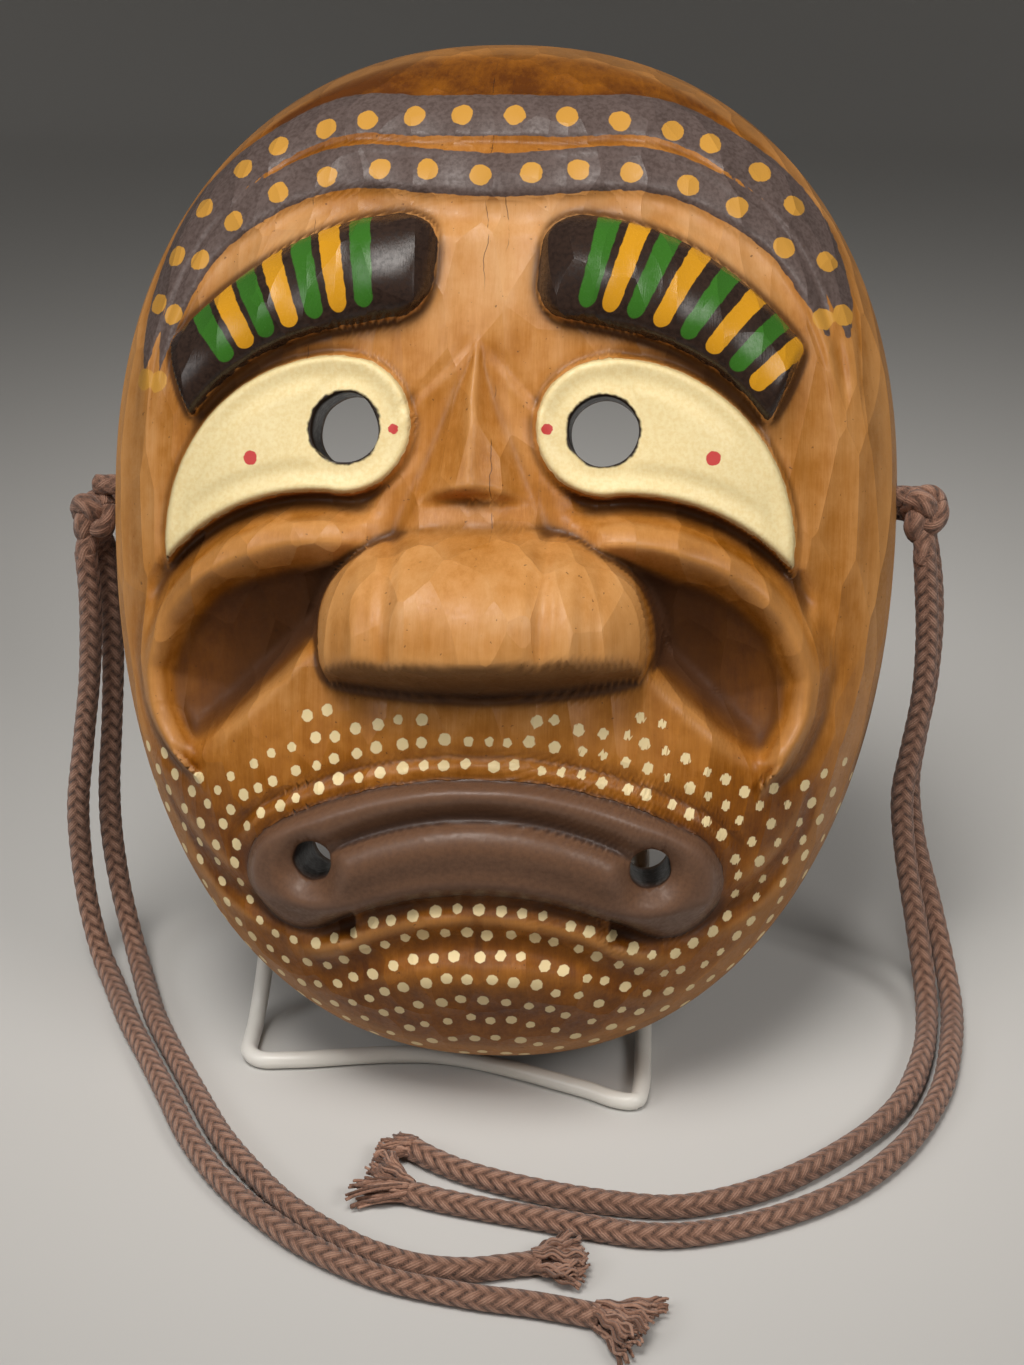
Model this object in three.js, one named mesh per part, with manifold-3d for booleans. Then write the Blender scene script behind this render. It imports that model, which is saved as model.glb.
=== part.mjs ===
// A carved and painted wooden dance mask on a bent wire display stand, with its two tie cords.
// Units are millimetres, +Z is up and -Y is the side the face looks to.

import * as THREE from 'three';
import { mergeVertices } from 'three/addons/utils/BufferGeometryUtils.js';
import Module from 'manifold-3d';

const wasm = await Module();
wasm.setup();

// Driving dimensions of the mask
const LEAN = 23; // degrees that the mask leans back from upright
const HALF_WIDTH = 95.3;
const WIDEST_AT = 14; // above the mask's own origin, to which its carving is set out
const UPPER = 108.5; // from the widest line to the crown
const LOWER = 137; // from the widest line to the chin
const OUTLINE_POWER = 2.22;
const DOME = 64; // height of the plain dome under the carving
const RIM_WIDTH = 9.5;
const HOLLOW = 46; // depth of the inside
const PUPIL_OUT = 29; // each pupil's distance from the middle of the eyes
const PUPIL_UP = 26.5;
const OFF_MIDDLE = 3; // the eyes and brows are carved this far to the left
const PUPIL_RADIUS = 8;
const MOUTH_HOLE_RADIUS = 4.8;
const CUT_TOP = DOME + 31; // where a cut through the front starts, clear of the carving
const CORD_HOLE_RADIUS = 3.4;
const CORD_HOLE_UP = 15; // above the mask's own origin
const CORD_HOLE_DEPTH = 9.5; // in front of the rim plane

// Driving dimensions of the stand and the cords
const WIRE = 4.2;
const CORD = 5.6;
const FRAY_WIDTH = 12.8; // of a frayed end at its tip
const FRAY_FLATNESS = 0.42;
const GAP = 0.3;
const STAND_TOP = 141;
const STAND_LEFT = -46.5; // where the wire bends down at the left end of its top
const FOOT_BACK = 98;
const FOOT_LEFT = -45.5;
const FOOT_RIGHT = 26.5;
const KNOT_OUT = 6.4; // middle of a knot outside the mask's widest line

// Where the mask leans: its rim plane meets the stand's ground LIFT up, in front of the chin's edge
const CHIN_DROP = 4; // below the top of the wire that the chin rests on
const LIFT = WIRE - CHIN_DROP;
const CHIN_UP = 2; // from there to the chin's edge, along the plane
const ORIGIN_UP = CHIN_UP + LOWER - WIDEST_AT;

// Resolution of the carved surface
const FRONT_RINGS = 24;
const AVERAGE = 1.3;
const BACK_RINGS = 7;

const clamp = (x, a = 0, b = 1) => Math.min(b, Math.max(a, x));
const ease = (x) => clamp(x) ** 2 * (3 - 2 * clamp(x));
const hump = (x) => clamp(1 - x * x) ** 2;
const smoothMax = (a, b, k) => {
  const h = clamp(0.5 + (0.5 * (a - b)) / k);
  return b + (a - b) * h + k * h * (1 - h);
};
const smoothMin = (a, b, k) => -smoothMax(-a, -b, k);

function interpolate(x, xs, ys) {
  if (x <= xs[0]) return ys[0];
  for (let i = 1; i < xs.length; i++) {
    if (x <= xs[i]) return ys[i - 1] + ((ys[i] - ys[i - 1]) * (x - xs[i - 1])) / (xs[i] - xs[i - 1]);
  }
  return ys[ys.length - 1];
}

// The face is a height over the flat rim: u runs across, v up the rim plane from its middle.
function dome(u, v) {
  const dv = v - WIDEST_AT;
  const b = dv > 0 ? UPPER : LOWER;
  const p = OUTLINE_POWER;
  const share = (Math.abs(u / HALF_WIDTH) ** p + Math.abs(dv / b) ** p) ** (1 / p);
  const down = clamp(-dv / LOWER / Math.max(share, 1e-6));
  const power = 2.7 + 2 * down ** 2;
  return (DOME + 2 * ease(-v / 60)) * clamp(1 - share ** power) ** (1 / 2.4);
}

function arcDistance(u, v, a, b) {
  const n = 3.4;
  const U = Math.abs(u) / a + 1e-9;
  const V = Math.max(v, 1e-3) / b;
  const s = U ** n + V ** n;
  const k = s ** (1 / n - 1);
  return (s ** (1 / n) - 1) / Math.hypot((k * U ** (n - 1)) / a, (k * V ** (n - 1)) / b);
}

// Two painted bands stand a little proud of the forehead, with a groove between them.
function forehead(u, v) {
  const wave = hump((Math.abs(u) - 36) / 21);
  const upper = arcDistance(u, v, 83.7, 98.9) - 2.3 * wave;
  const lower = arcDistance(u, v + 2.2 * Math.exp(-((u / 18) ** 2)), 80, 86.3) - 1.4 * wave;
  const half = 1.5 + 1.9 * ease((v - 38) / 26) + 2 * ease((v - 60) / 24);
  const rise = (d) => ease((half + 0.9 - Math.abs(d)) / 1.8) * (1 + 0.5 * hump(d / (half + 1)));
  let relief = 1.25 * rise(upper) + 1.25 * rise(lower);
  relief -= 0.9 * hump((upper + half + 1.6) / 1.5);
  relief -= 1.3 * hump((lower + half + 4.5) / 6.5) * ease((v - 45) / 20);
  relief += hump((upper + 7.2) / 3) * ease((v - 70) / 20);
  return relief * ease((v - 22) / 30);
}

// Each eyebrow is a thick bent roll: round at the nose end, cut off square at the temple end.
function brow(U, v) {
  const du = U - 12.9;
  const dv = v + 12;
  const across = Math.hypot(du, dv) - 75.5;
  const along = 75.5 * Math.atan2(du, dv);
  const half = 12.3 - 3.4 * ease((along - 12) / 50);
  const inner = along < 31;
  const radius = inner ? 9 : 1.5;
  const qx = (inner ? -1.5 - along : along - 64.5 + 0.5 * across) + radius;
  const qy = Math.abs(across) - half + radius;
  const d = Math.hypot(Math.max(qx, 0), Math.max(qy, 0)) + Math.min(Math.max(qx, qy), 0) - radius;
  const section = clamp(1 - (across + 0.8) ** 2 / (half + 0.8) ** 2) ** 0.42;
  const end = clamp(1 - clamp((12 - along) / 13.5) ** 2.4) ** 0.5;
  return 9 * section * end * ease((0.5 - d) / 1.6);
}

// The eye is a tear-shaped plate with a hollow round the pupil and a trench under its lower edge.
function eye(U, v) {
  const ball = Math.hypot(U - 29.3, v - 27.2) - 15.4;
  const upper = Math.hypot(U - 30.5, v - 1) - 41.9;
  const lower = 50.5 - Math.hypot(U - 35, v + 38.3);
  const d = Math.min(ball, Math.max(upper, lower, 29.3 - U));
  const pupil = Math.hypot(U - PUPIL_OUT, v - PUPIL_UP);
  const below = U > 29.3 ? lower : ball;
  let relief = 2.9 * ease((0.7 - d) / 1.8);
  relief -= 1.9 * Math.exp(-((pupil / 12.5) ** 2)) * ease(-d / 2);
  relief -= 0.7 * hump((d + 4.6) / 3.4);
  relief -= 4.2 * hump((below - 2.4) / 5.2) * ease((20 - v) / 8) * ease((U - 17) / 10)
    * (1 - ease((U - 74) / 5)) * ease((d + 0.5) / 1.2);
  return relief - 0.5 * hump((d - 1.4) / 1.6);
}

// The cheek is a raised roll that circles a deep scoop beside the nose.
function cheek(U, v) {
  const turn = (Math.atan2(U - 30.5, v + 40) * 180) / Math.PI;
  const swell = interpolate(turn, [0, 25, 45, 60, 75, 86, 96, 110], [0.3, 2, 5, 6.6, 6.6, 4.4, 1, -4]);
  const radius = 40.5 + swell;
  const out = Math.hypot(U - 30.5, v + 40) - radius;
  const width = interpolate(turn, [-20, 0, 30, 60, 80, 100, 115], [9, 11, 12, 9, 6, 5, 3]);
  const stop = 1 - ease((turn - 104) / 14);
  const crest = 6 * ease((turn + 18) / 22) * stop;
  const roll = out > 0 ? crest * (1 - ease(out / width)) : crest;
  const valley = -1.2 * hump((out - width) / 4.5) * ease((turn - 40) / 20) * stop;
  const nearWall = ease(((U - 36) * 0.685 + (v + 25) * 0.728) / 9);
  const inside = Math.max(-out, 0);
  const drop = 2.5 * ease(inside / 4.5) + 17 * (1 - (1 - clamp((inside - 3.5) / 32)) ** 1.6);
  const hollow = -(drop + crest * ease(inside / 8)) * nearWall - (out <= 0 ? crest * (1 - nearWall) : 0);
  return roll + valley + hollow;
}

// The bridge widens and rises downwards to a crease, and the broad nose bulb starts under it.
function noseTop(u, U, v) {
  const ground = 60;
  const t = clamp((46 - v) / 34, 0, 1.25);
  const x = U / (1 + 17 * t);
  const ridge = ground + 3.8 + 10.2 * t ** 0.8;
  const saddle = 67 + 0.3 * clamp(10 - v, 0, 12) - 0.01 * U ** 2 - Math.max(U - 15, 0) ** 1.25;
  const fade = ease((v - 10 + 0.01 * U ** 2) / 3.6);
  let bridge = v > 46.5 ? 0 : ridge - (ridge - ground + 1.5) * (0.75 * x + 0.25 * x ** 3);
  bridge = v > -10 ? bridge * fade + (1 - fade) * Math.min(bridge, saddle) : 0;
  const dv = v + 21;
  const share = ((Math.abs(u) / 36.8) ** 2.5 + (Math.abs(dv) / (dv > 0 ? 25.6 : 19.2)) ** 2.5) ** 0.4;
  const power = 0.5 + 0.42 * clamp(dv / 25.6 / Math.max(share, 1e-3)) ** 2;
  let bulb = 66 + 26 * clamp(1 - share ** 2.4) ** power - 190 * Math.max(share - 1, 0);
  bulb += 0.7 * hump((U - 23.5) / 3) - 1.7 * hump((U - 16.8) / 3.4) - 0.5 * hump((U - 29.5) / 2.4);
  bulb = smoothMin(bulb, 88 + 3.2 * (v + 27.2 - 0.004 * U ** 2), 1.6);
  return smoothMax(bridge, bulb, 4);
}

// The mouth is a frowning pair of lips, with a fold over it and a wave of folds on the chin.
function mouth(u, v) {
  const radius = 89;
  const dv = v + 153.7;
  const angle = Math.atan2(u, dv);
  const limit = Math.asin(41.5 / radius);
  const nearest = clamp(angle, -limit, limit);
  const d = Math.hypot(u - radius * Math.sin(nearest), dv - radius * Math.cos(nearest)) - 13.1;
  const across = Math.hypot(u, dv) - radius;
  const along = angle * radius;
  const t = across - 4.2 + 2.4 * (along / 40) ** 2;
  const middle = 1 - ease((Math.abs(along) - 30) / 9);
  const upper = -3.6 * hump(t > 0 ? t / 4.8 : t / 1.1);
  const lower = t < 0 ? 1.9 * hump((t + 6) / 6.2) : 0;
  let lips = 6 + 0.5 * hump((across + 4) / 9) + (upper + lower) * middle;
  lips -= 5.5 * hump(Math.hypot(Math.abs(u) - 38.8, v + 72.6) / 9.5);
  let relief = lips * ease((0.6 - d) / 3.4) ** 0.8;
  const above = ease((v + 84 - 0.2 * Math.abs(u)) / 10);
  relief += (1.5 * hump((d - 2.4) / 3) - 1.3 * hump((d - 5.5) / 1.7)) * above;
  relief += 2.4 * hump((v + 40) / 22) * hump(u / 46);
  const below = ease((-76 - v + 0.1 * Math.abs(u)) / 6) * (1 - ease((Math.abs(u) - 34) / 16));
  relief += (-1.4 * hump((d - 2) / 3) + 1.3 * hump((d - 5.8) / 3.6) - 2.2 * hump((d - 11.5) / 5.5)) * below;
  relief += 3.4 * hump((v + 99 + 0.004 * u ** 2) / 8.5) * hump(u / 34);
  return relief;
}

function face(u, v) {
  const c = u + OFF_MIDDLE * (v > 30 ? hump((v - 30) / 45) : ease((v + 75) / 35));
  const U = Math.abs(c);
  const ground = dome(u, v) + forehead(u, v) + brow(U, v) + eye(U, v) + cheek(U, v) + mouth(u, v);
  return smoothMax(ground, noseTop(u, U, v), 1.6);
}

// The inside is a smooth hollow with the same outline, one rim width smaller.
function hollow(share) {
  return HOLLOW * clamp(1 - share ** 2.6) ** (1 / 2.2);
}

// Its depth at any place of the rim plane
function hollowDepth(u, v) {
  const b = (v > WIDEST_AT ? UPPER : LOWER) - RIM_WIDTH;
  const p = OUTLINE_POWER;
  const x = Math.abs(u) / (HALF_WIDTH - RIM_WIDTH);
  return hollow((x ** p + (Math.abs(v - WIDEST_AT) / b) ** p) ** (1 / p));
}

function outline(angle, inset) {
  const c = Math.cos(angle);
  const s = Math.sin(angle);
  const b = (s > 0 ? UPPER : LOWER) - inset;
  const p = OUTLINE_POWER;
  const r = (Math.abs(c / (HALF_WIDTH - inset)) ** p + Math.abs(s / b) ** p) ** (-1 / p);
  return [r * c, r * s];
}

// Ring positions are spaced by length along the section, so the steep sides get their own rings.
function spacedShares(count, heightAt, reach) {
  const shares = [];
  const lengths = [0];
  for (let i = 0; i <= 2000; i++) shares.push(i / 2000);
  for (let i = 1; i <= 2000; i++) {
    const rise = heightAt(shares[i]) - heightAt(shares[i - 1]);
    lengths.push(lengths[i - 1] + Math.hypot(reach / 2000, rise));
  }
  const total = lengths[2000];
  const rings = [];
  for (let i = 1; i <= count; i++) rings.push(interpolate((total * i) / count, lengths, shares));
  return rings;
}

// The carving is averaged over a small square, so that its steps stay smooth on this mesh.
function carved(u, v) {
  let sum = 0;
  for (const du of [-AVERAGE, 0, AVERAGE]) {
    for (const dv of [-AVERAGE, 0, AVERAGE]) {
      sum += face(u + du, v + dv) - dome(u + du, v + dv);
    }
  }
  return dome(u, v) + sum / 9;
}

function maskGeometry() {
  const positions = [0, WIDEST_AT, carved(0, WIDEST_AT)];
  const indices = [];

  // Front: ring k has 8k points, so the cells keep about the same size from the middle to the edge.
  const front = spacedShares(FRONT_RINGS, (s) => dome(s * HALF_WIDTH, WIDEST_AT), HALF_WIDTH);
  const first = [0];
  for (let k = 1; k <= FRONT_RINGS; k++) {
    first.push(positions.length / 3);
    const share = front[k - 1];
    for (let j = 0; j < 8 * k; j++) {
      const [x, y] = outline((j / (8 * k)) * 2 * Math.PI, 0);
      const u = x * share;
      const v = y * share + WIDEST_AT;
      const plain = dome(u, v);
      const w = plain + (carved(u, v) - plain) * ease((1 - share) / 0.1);
      positions.push(u, v, k === FRONT_RINGS ? 0 : w);
    }
  }
  const at = (k, j) => (k === 0 ? 0 : first[k] + (j % (8 * k)));
  for (let k = 1; k <= FRONT_RINGS; k++) {
    for (let wedge = 0; wedge < 8; wedge++) {
      for (let i = 0; i < k; i++) {
        const outer = wedge * k + i;
        const inner = wedge * (k - 1) + i;
        indices.push(at(k - 1, inner), at(k, outer), at(k, outer + 1));
        if (i < k - 1) indices.push(at(k - 1, inner), at(k, outer + 1), at(k - 1, inner + 1));
      }
    }
  }

  // Back: plain rings of a quarter as many points, joined to the front's edge by a fan at each point
  const sectors = 2 * FRONT_RINGS;
  const back = spacedShares(BACK_RINGS, hollow, HALF_WIDTH - RIM_WIDTH).reverse();
  const start = positions.length / 3;
  for (const share of back) {
    for (let j = 0; j < sectors; j++) {
      const [x, y] = outline((j / sectors) * 2 * Math.PI, RIM_WIDTH);
      positions.push(x * share, y * share + WIDEST_AT, hollow(share));
    }
  }
  positions.push(0, WIDEST_AT, hollow(0));
  const last = start + BACK_RINGS * sectors;
  const edge = (j) => at(FRONT_RINGS, j + 8 * FRONT_RINGS);
  for (let j = 0; j < sectors; j++) {
    const next = (j + 1) % sectors;
    for (let i = -2; i < 2; i++) indices.push(start + j, edge(4 * j + i + 1), edge(4 * j + i));
    indices.push(start + j, start + next, edge(4 * j + 2));
    for (let i = 0; i < BACK_RINGS - 1; i++) {
      const a = start + i * sectors + j;
      const b = start + i * sectors + next;
      indices.push(a, a + sectors, b + sectors, a, b + sectors, b);
    }
    indices.push(last, start + (BACK_RINGS - 1) * sectors + next, start + (BACK_RINGS - 1) * sectors + j);
  }
  const geometry = new THREE.BufferGeometry();
  geometry.setAttribute('position', new THREE.Float32BufferAttribute(positions, 3));
  geometry.setIndex(indices);
  return geometry;
}

function solid(geometry) {
  const plain = geometry.clone();
  plain.deleteAttribute('normal');
  plain.deleteAttribute('uv');
  const merged = mergeVertices(plain, 1e-4);
  return new wasm.Manifold(new wasm.Mesh({
    numProp: 3,
    vertProperties: new Float32Array(merged.attributes.position.array),
    triVerts: new Uint32Array(merged.index.array),
  }));
}

function toGeometry(manifold) {
  const mesh = manifold.getMesh();
  const geometry = new THREE.BufferGeometry();
  geometry.setAttribute('position', new THREE.Float32BufferAttribute(mesh.vertProperties, 3));
  geometry.setIndex(new THREE.Uint32BufferAttribute(mesh.triVerts, 1));
  geometry.computeVertexNormals();
  return geometry;
}

// A round bar of n sides along a curve through the given points
function bar(points, diameter, sides, steps) {
  const curve = new THREE.CatmullRomCurve3(points.map((p) => new THREE.Vector3(...p)));
  const section = new THREE.Shape();
  for (let i = 0; i < sides; i++) {
    const a = ((i + 0.5) / sides) * 2 * Math.PI;
    const x = (diameter / 2) * Math.cos(a);
    const y = (diameter / 2) * Math.sin(a);
    if (i === 0) section.moveTo(x, y);
    else section.lineTo(x, y);
  }
  section.closePath();
  return new THREE.ExtrudeGeometry(section, { steps, bevelEnabled: false, extrudePath: curve });
}

// A cylinder that cuts a hole from one point of the mask to another
function drill(from, to, radius, sides) {
  const a = new THREE.Vector3(...from);
  const b = new THREE.Vector3(...to);
  const geometry = new THREE.CylinderGeometry(radius, radius, a.distanceTo(b), sides);
  const turn = new THREE.Quaternion().setFromUnitVectors(
    new THREE.Vector3(0, 1, 0), b.clone().sub(a).normalize());
  geometry.applyQuaternion(turn);
  geometry.translate(...a.add(b).multiplyScalar(0.5).toArray());
  return solid(geometry);
}

const wood = new THREE.MeshStandardMaterial({ color: 0x9a5f2c, roughness: 0.42, metalness: 0 });
const coated = new THREE.MeshStandardMaterial({ color: 0xe8e5de, roughness: 0.35, metalness: 0 });
const braid = new THREE.MeshStandardMaterial({ color: 0x6b4c3f, roughness: 0.95, metalness: 0 });

const group = new THREE.Group();

function add(name, geometry, material) {
  const mesh = new THREE.Mesh(geometry, material);
  mesh.name = name;
  group.add(mesh);
  return mesh;
}

// The carved shell with its two pupils, two mouth corners and two cord holes cut through
let shell = solid(maskGeometry());
for (const side of [-1, 1]) {
  const cuts = [
    drill([side * PUPIL_OUT - OFF_MIDDLE, PUPIL_UP, 20], [side * PUPIL_OUT - OFF_MIDDLE, PUPIL_UP, CUT_TOP],
      PUPIL_RADIUS, 20),
    drill([side * 36, -68, 18], [side * 40, -73.5, CUT_TOP], MOUTH_HOLE_RADIUS, 14),
    drill([side * (HALF_WIDTH - 2 * RIM_WIDTH), CORD_HOLE_UP, CORD_HOLE_DEPTH],
      [side * (HALF_WIDTH + RIM_WIDTH), CORD_HOLE_UP, CORD_HOLE_DEPTH], CORD_HOLE_RADIUS, 12),
  ];
  for (const cut of cuts) shell = shell.subtract(cut);
}
const lean = THREE.MathUtils.degToRad(90 - LEAN);
const mask = add('mask', toGeometry(shell), wood);
mask.rotation.x = lean;
mask.position.set(
  0,
  ORIGIN_UP * Math.cos(lean),
  ORIGIN_UP * Math.sin(lean) + LIFT,
);

// The stand: a closed loop of wire whose front bar carries the chin and whose top enters the hollow
const r = WIRE / 2;
const planeUp = (STAND_TOP - LIFT) / Math.sin(lean); // up the rim plane to the height of the stand's top
const topUp = planeUp - ORIGIN_UP - HOLLOW / Math.tan(lean);
const topOut = hollowDepth(STAND_LEFT, topUp) - r - GAP; // the top bar lies just inside the hollow's front
const topY = planeUp * Math.cos(lean) - topOut / Math.sin(lean);
const frontLoop = [
  [-10, topY, STAND_TOP], [-40, topY, STAND_TOP], [STAND_LEFT, topY - 0.1, STAND_TOP - 1.6],
  [-50, topY - 0.5, STAND_TOP - 8],
  [-53.4, 18.4, 104], [-56.2, 18.2, 62], [-59.4, 17, 18], [-61, 13.4, 6.6], [-61.4, 7, r + 0.8],
  [-61.5, 1, r + 0.2], [-61, -4.5, r + 0.1], [-58, -7.6, r + 0.1], [-50, -7.4, r + 0.1], [-14, -3.6, r + 0.1],
  [22, -16.2, r + 0.1], [31, -20.8, r + 0.1], [35, -21, r + 0.1], [36.2, -16, r + 0.1], [36.3, 2, r + 0.2],
  [36.2, 8, r + 0.8], [36, 13, 6.6], [35.7, 16, 18], [34.7, 18, 62], [33.8, 18.4, 104],
  [32.9, topY - 0.5, STAND_TOP - 8], [29.5, topY - 0.1, STAND_TOP - 1.6], [23, topY, STAND_TOP],
  [-8, topY, STAND_TOP],
];
const leftLeg = [[-53.4, 18.4, 104], [-52.4, 57, 55], [-51, 93, 7], [-48.5, 97.4, 2.6], [-43, FOOT_BACK, r]];
const rightLeg = [[33.8, 18.4, 104], [33, 57, 55], [32, 93, 7], [29.5, 97.4, 2.6], [24, FOOT_BACK, r]];
const foot = new THREE.Shape();
for (let i = 0; i < 8; i++) {
  const a = ((i + 0.5) / 8) * 2 * Math.PI;
  const reach = r / Math.cos(Math.PI / 8);
  if (i === 0) foot.moveTo(reach * Math.cos(a), reach * Math.sin(a));
  else foot.lineTo(reach * Math.cos(a), reach * Math.sin(a));
}
foot.closePath();
const footBar = new THREE.ExtrudeGeometry(foot, { depth: FOOT_RIGHT - FOOT_LEFT, bevelEnabled: false });
footBar.rotateY(Math.PI / 2);
footBar.translate(FOOT_LEFT, FOOT_BACK, r);
const frame = solid(bar(frontLoop, WIRE, 8, 74))
  .add(solid(bar(leftLeg, WIRE, 8, 9)))
  .add(solid(bar(rightLeg, WIRE, 8, 9)))
  .add(solid(footBar));
const stand = add('display_stand', toGeometry(frame), coated);

// Each tie cord loops through its side hole and is knotted outside it
const tilt = new THREE.Matrix4().makeRotationX(lean).setPosition(mask.position);
function onMask(u, v, w) {
  return new THREE.Vector3(u, v, w).applyMatrix4(tilt).toArray();
}
const knotAt = { left: [-HALF_WIDTH - KNOT_OUT, 45.6, 124.4], right: [HALF_WIDTH + KNOT_OUT, 45.4, 128.6] };
for (const side of ['left', 'right']) {
  const s = side === 'left' ? -1 : 1;
  const d = CORD_HOLE_DEPTH;
  const loop = [
    [5.2, 0, d - 1.5], [-0.3, 0, d], [-8.3, 0, d], [-14.8, 0, d - 1.5], [-16.8, -1, 3], [-13.8, -2, -3.4],
    [-7.3, -2.5, -4.4], [-0.3, -3, -4], [4.7, -3.5, -0.5], [5.7, -3, 4],
  ].map(([out, up, front]) => onMask(s * (HALF_WIDTH + out), CORD_HOLE_UP + up, front));
  const bulb = new THREE.SphereGeometry(1, 12, 8);
  bulb.scale(6, 6, 7.6);
  bulb.translate(...knotAt[side]);
  const knot = solid(bulb).add(solid(bar(loop, CORD - 0.6, 8, 17)));
  add(side + '_knot', toGeometry(knot), braid);
}

// The cords hang from the knots, turn on the surface and lie in front of the mask
const Z = CORD / 2 + 0.15;
const tails = {
  left_tail_a: [
    [-103.4, 42.4, 116.2], [-103.2, 42.2, 104], [-104.8, 42, 84], [-108, 42, 64], [-110.8, 42, 46],
    [-111.2, 42, 31], [-109.8, 39.8, 17], [-106, 33.5, 6.8], [-101.4, 25, Z + 0.5],
    [-93.5, 6.8, Z + 0.1], [-87.2, -6, Z], [-77.6, -25.7, Z], [-69.2, -43, Z], [-59.5, -58.5, Z],
    [-48.2, -71.6, Z], [-34, -84, Z], [-18, -93.2, Z], [1.4, -98.4, Z], [16, -100.6, Z],
    [30, -103.8, Z],
  ],
  left_tail_b: [
    [-100, 49, 115.6], [-99.6, 49.2, 102], [-100.2, 49.2, 86], [-102, 49.2, 66], [-104, 49.2, 48],
    [-104.4, 49.2, 34], [-102.8, 47.2, 19], [-99.2, 41, 7.8], [-94.4, 29, Z + 0.5],
    [-87.6, 10, Z + 0.1], [-80.8, -4.6, Z], [-71.4, -23.4, Z], [-61.8, -42, Z], [-53.2, -54.6, Z],
    [-42.6, -67.6, Z], [-31.8, -77.4, Z], [-21, -84.6, Z], [-10, -88.8, Z], [0.7, -89.4, Z],
    [8, -87.8, Z], [16, -85.8, Z],
  ],
  right_tail_a: [
    [102, 42.2, 120.3], [103, 42.2, 110], [103.8, 42.2, 98], [103.5, 42.2, 82], [101.5, 42.2, 66],
    [100, 42.2, 54], [101.4, 41.4, 38], [105, 37, 19], [107, 29, 7.6], [107.2, 19, Z + 0.5],
    [104.6, 0, Z + 0.1], [97.8, -20.8, Z], [84.3, -39.3, Z], [66, -55.4, Z], [47, -63.6, Z],
    [32, -63.4, Z], [14, -59.6, Z], [-3, -53.3, Z], [-11, -48.6, Z], [-17, -44, Z],
  ],
  right_tail_b: [
    [103, 48.6, 120.2], [104.6, 48.8, 110], [105.4, 48.8, 98], [105, 48.8, 82], [103, 48.8, 66],
    [102, 48.8, 54], [104.2, 48.4, 38], [109.4, 44.4, 20], [112.6, 36, 8.2], [113.7, 24, Z + 0.5],
    [112, 5, Z + 0.1], [108, -15, Z], [98, -37.8, Z], [83.9, -55.4, Z], [66, -67.6, Z], [48.7, -74, Z],
    [38, -74.8, Z], [28.9, -73.2, Z], [16, -70.2, Z], [2, -67, Z], [-8.4, -64.2, Z], [-16.4, -61.4, Z],
  ],
};
const tips = {
  left_tail_a: [42, -111.5], left_tail_b: [28, -84], right_tail_a: [-24, -40.6], right_tail_b: [-29, -57],
};
for (const [name, points] of Object.entries(tails)) {
  add(name, bar(points, CORD, 8, 22), braid);
  const end = points[points.length - 1];
  const dx = tips[name][0] - end[0];
  const dy = tips[name][1] - end[1];
  const length = Math.hypot(dx, dy);
  const fray = new THREE.CylinderGeometry(FRAY_WIDTH / 2, CORD / 2, length - 4 * GAP, 10, 1);
  fray.scale(1, 1, FRAY_FLATNESS);
  fray.rotateZ(Math.atan2(dy, dx) - Math.PI / 2);
  const start = (length + 4 * GAP) / 2 / length;
  fray.translate(end[0] + dx * start, end[1] + dy * start, Z);
  add(name.replace('tail', 'fray'), fray, braid);
}

// The origin is under the middle of the mask and stand, on the surface that the stand rests on
group.updateMatrixWorld(true);
const box = new THREE.Box3().setFromObject(mask, true).union(new THREE.Box3().setFromObject(stand, true));
for (const child of group.children) {
  child.position.x -= (box.min.x + box.max.x) / 2;
  child.position.y -= (box.min.y + box.max.y) / 2;
  child.position.z -= box.min.z;
}

export default group;
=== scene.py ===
# %% [markdown]
# # A carved dance mask on its wire stand
# The real object is one block of light wood, carved as a frowning face, painted and varnished. It leans back
# on a bent wire stand, and a knotted tie cord hangs from each side. Everything here is worked out with numpy
# in millimetres and put into Blender in metres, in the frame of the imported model.

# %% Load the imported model
import bpy
import numpy as np
from mathutils import Matrix


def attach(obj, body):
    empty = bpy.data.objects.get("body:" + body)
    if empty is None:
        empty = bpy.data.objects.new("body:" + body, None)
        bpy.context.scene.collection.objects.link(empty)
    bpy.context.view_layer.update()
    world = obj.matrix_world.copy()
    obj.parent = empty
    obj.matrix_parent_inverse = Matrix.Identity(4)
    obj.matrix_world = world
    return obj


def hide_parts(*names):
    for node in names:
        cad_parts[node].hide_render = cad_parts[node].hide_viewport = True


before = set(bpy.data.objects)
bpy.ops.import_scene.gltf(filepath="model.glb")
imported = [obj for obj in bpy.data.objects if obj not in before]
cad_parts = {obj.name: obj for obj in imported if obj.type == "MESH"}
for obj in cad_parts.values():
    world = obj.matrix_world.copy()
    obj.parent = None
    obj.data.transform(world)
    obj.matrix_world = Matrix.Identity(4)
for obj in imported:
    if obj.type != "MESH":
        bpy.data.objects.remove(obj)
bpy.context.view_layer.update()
MM = 0.001
SHIFT_Y = -27.552  # puts the middle of mask and stand over the origin

# %% [markdown]
# ## The camera
# The photograph was taken from a little to the right of the face and from above it, close to square on to the
# leaning rim. The place was found from the wire and the cords on the table. The lens is a short telephoto.

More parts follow.
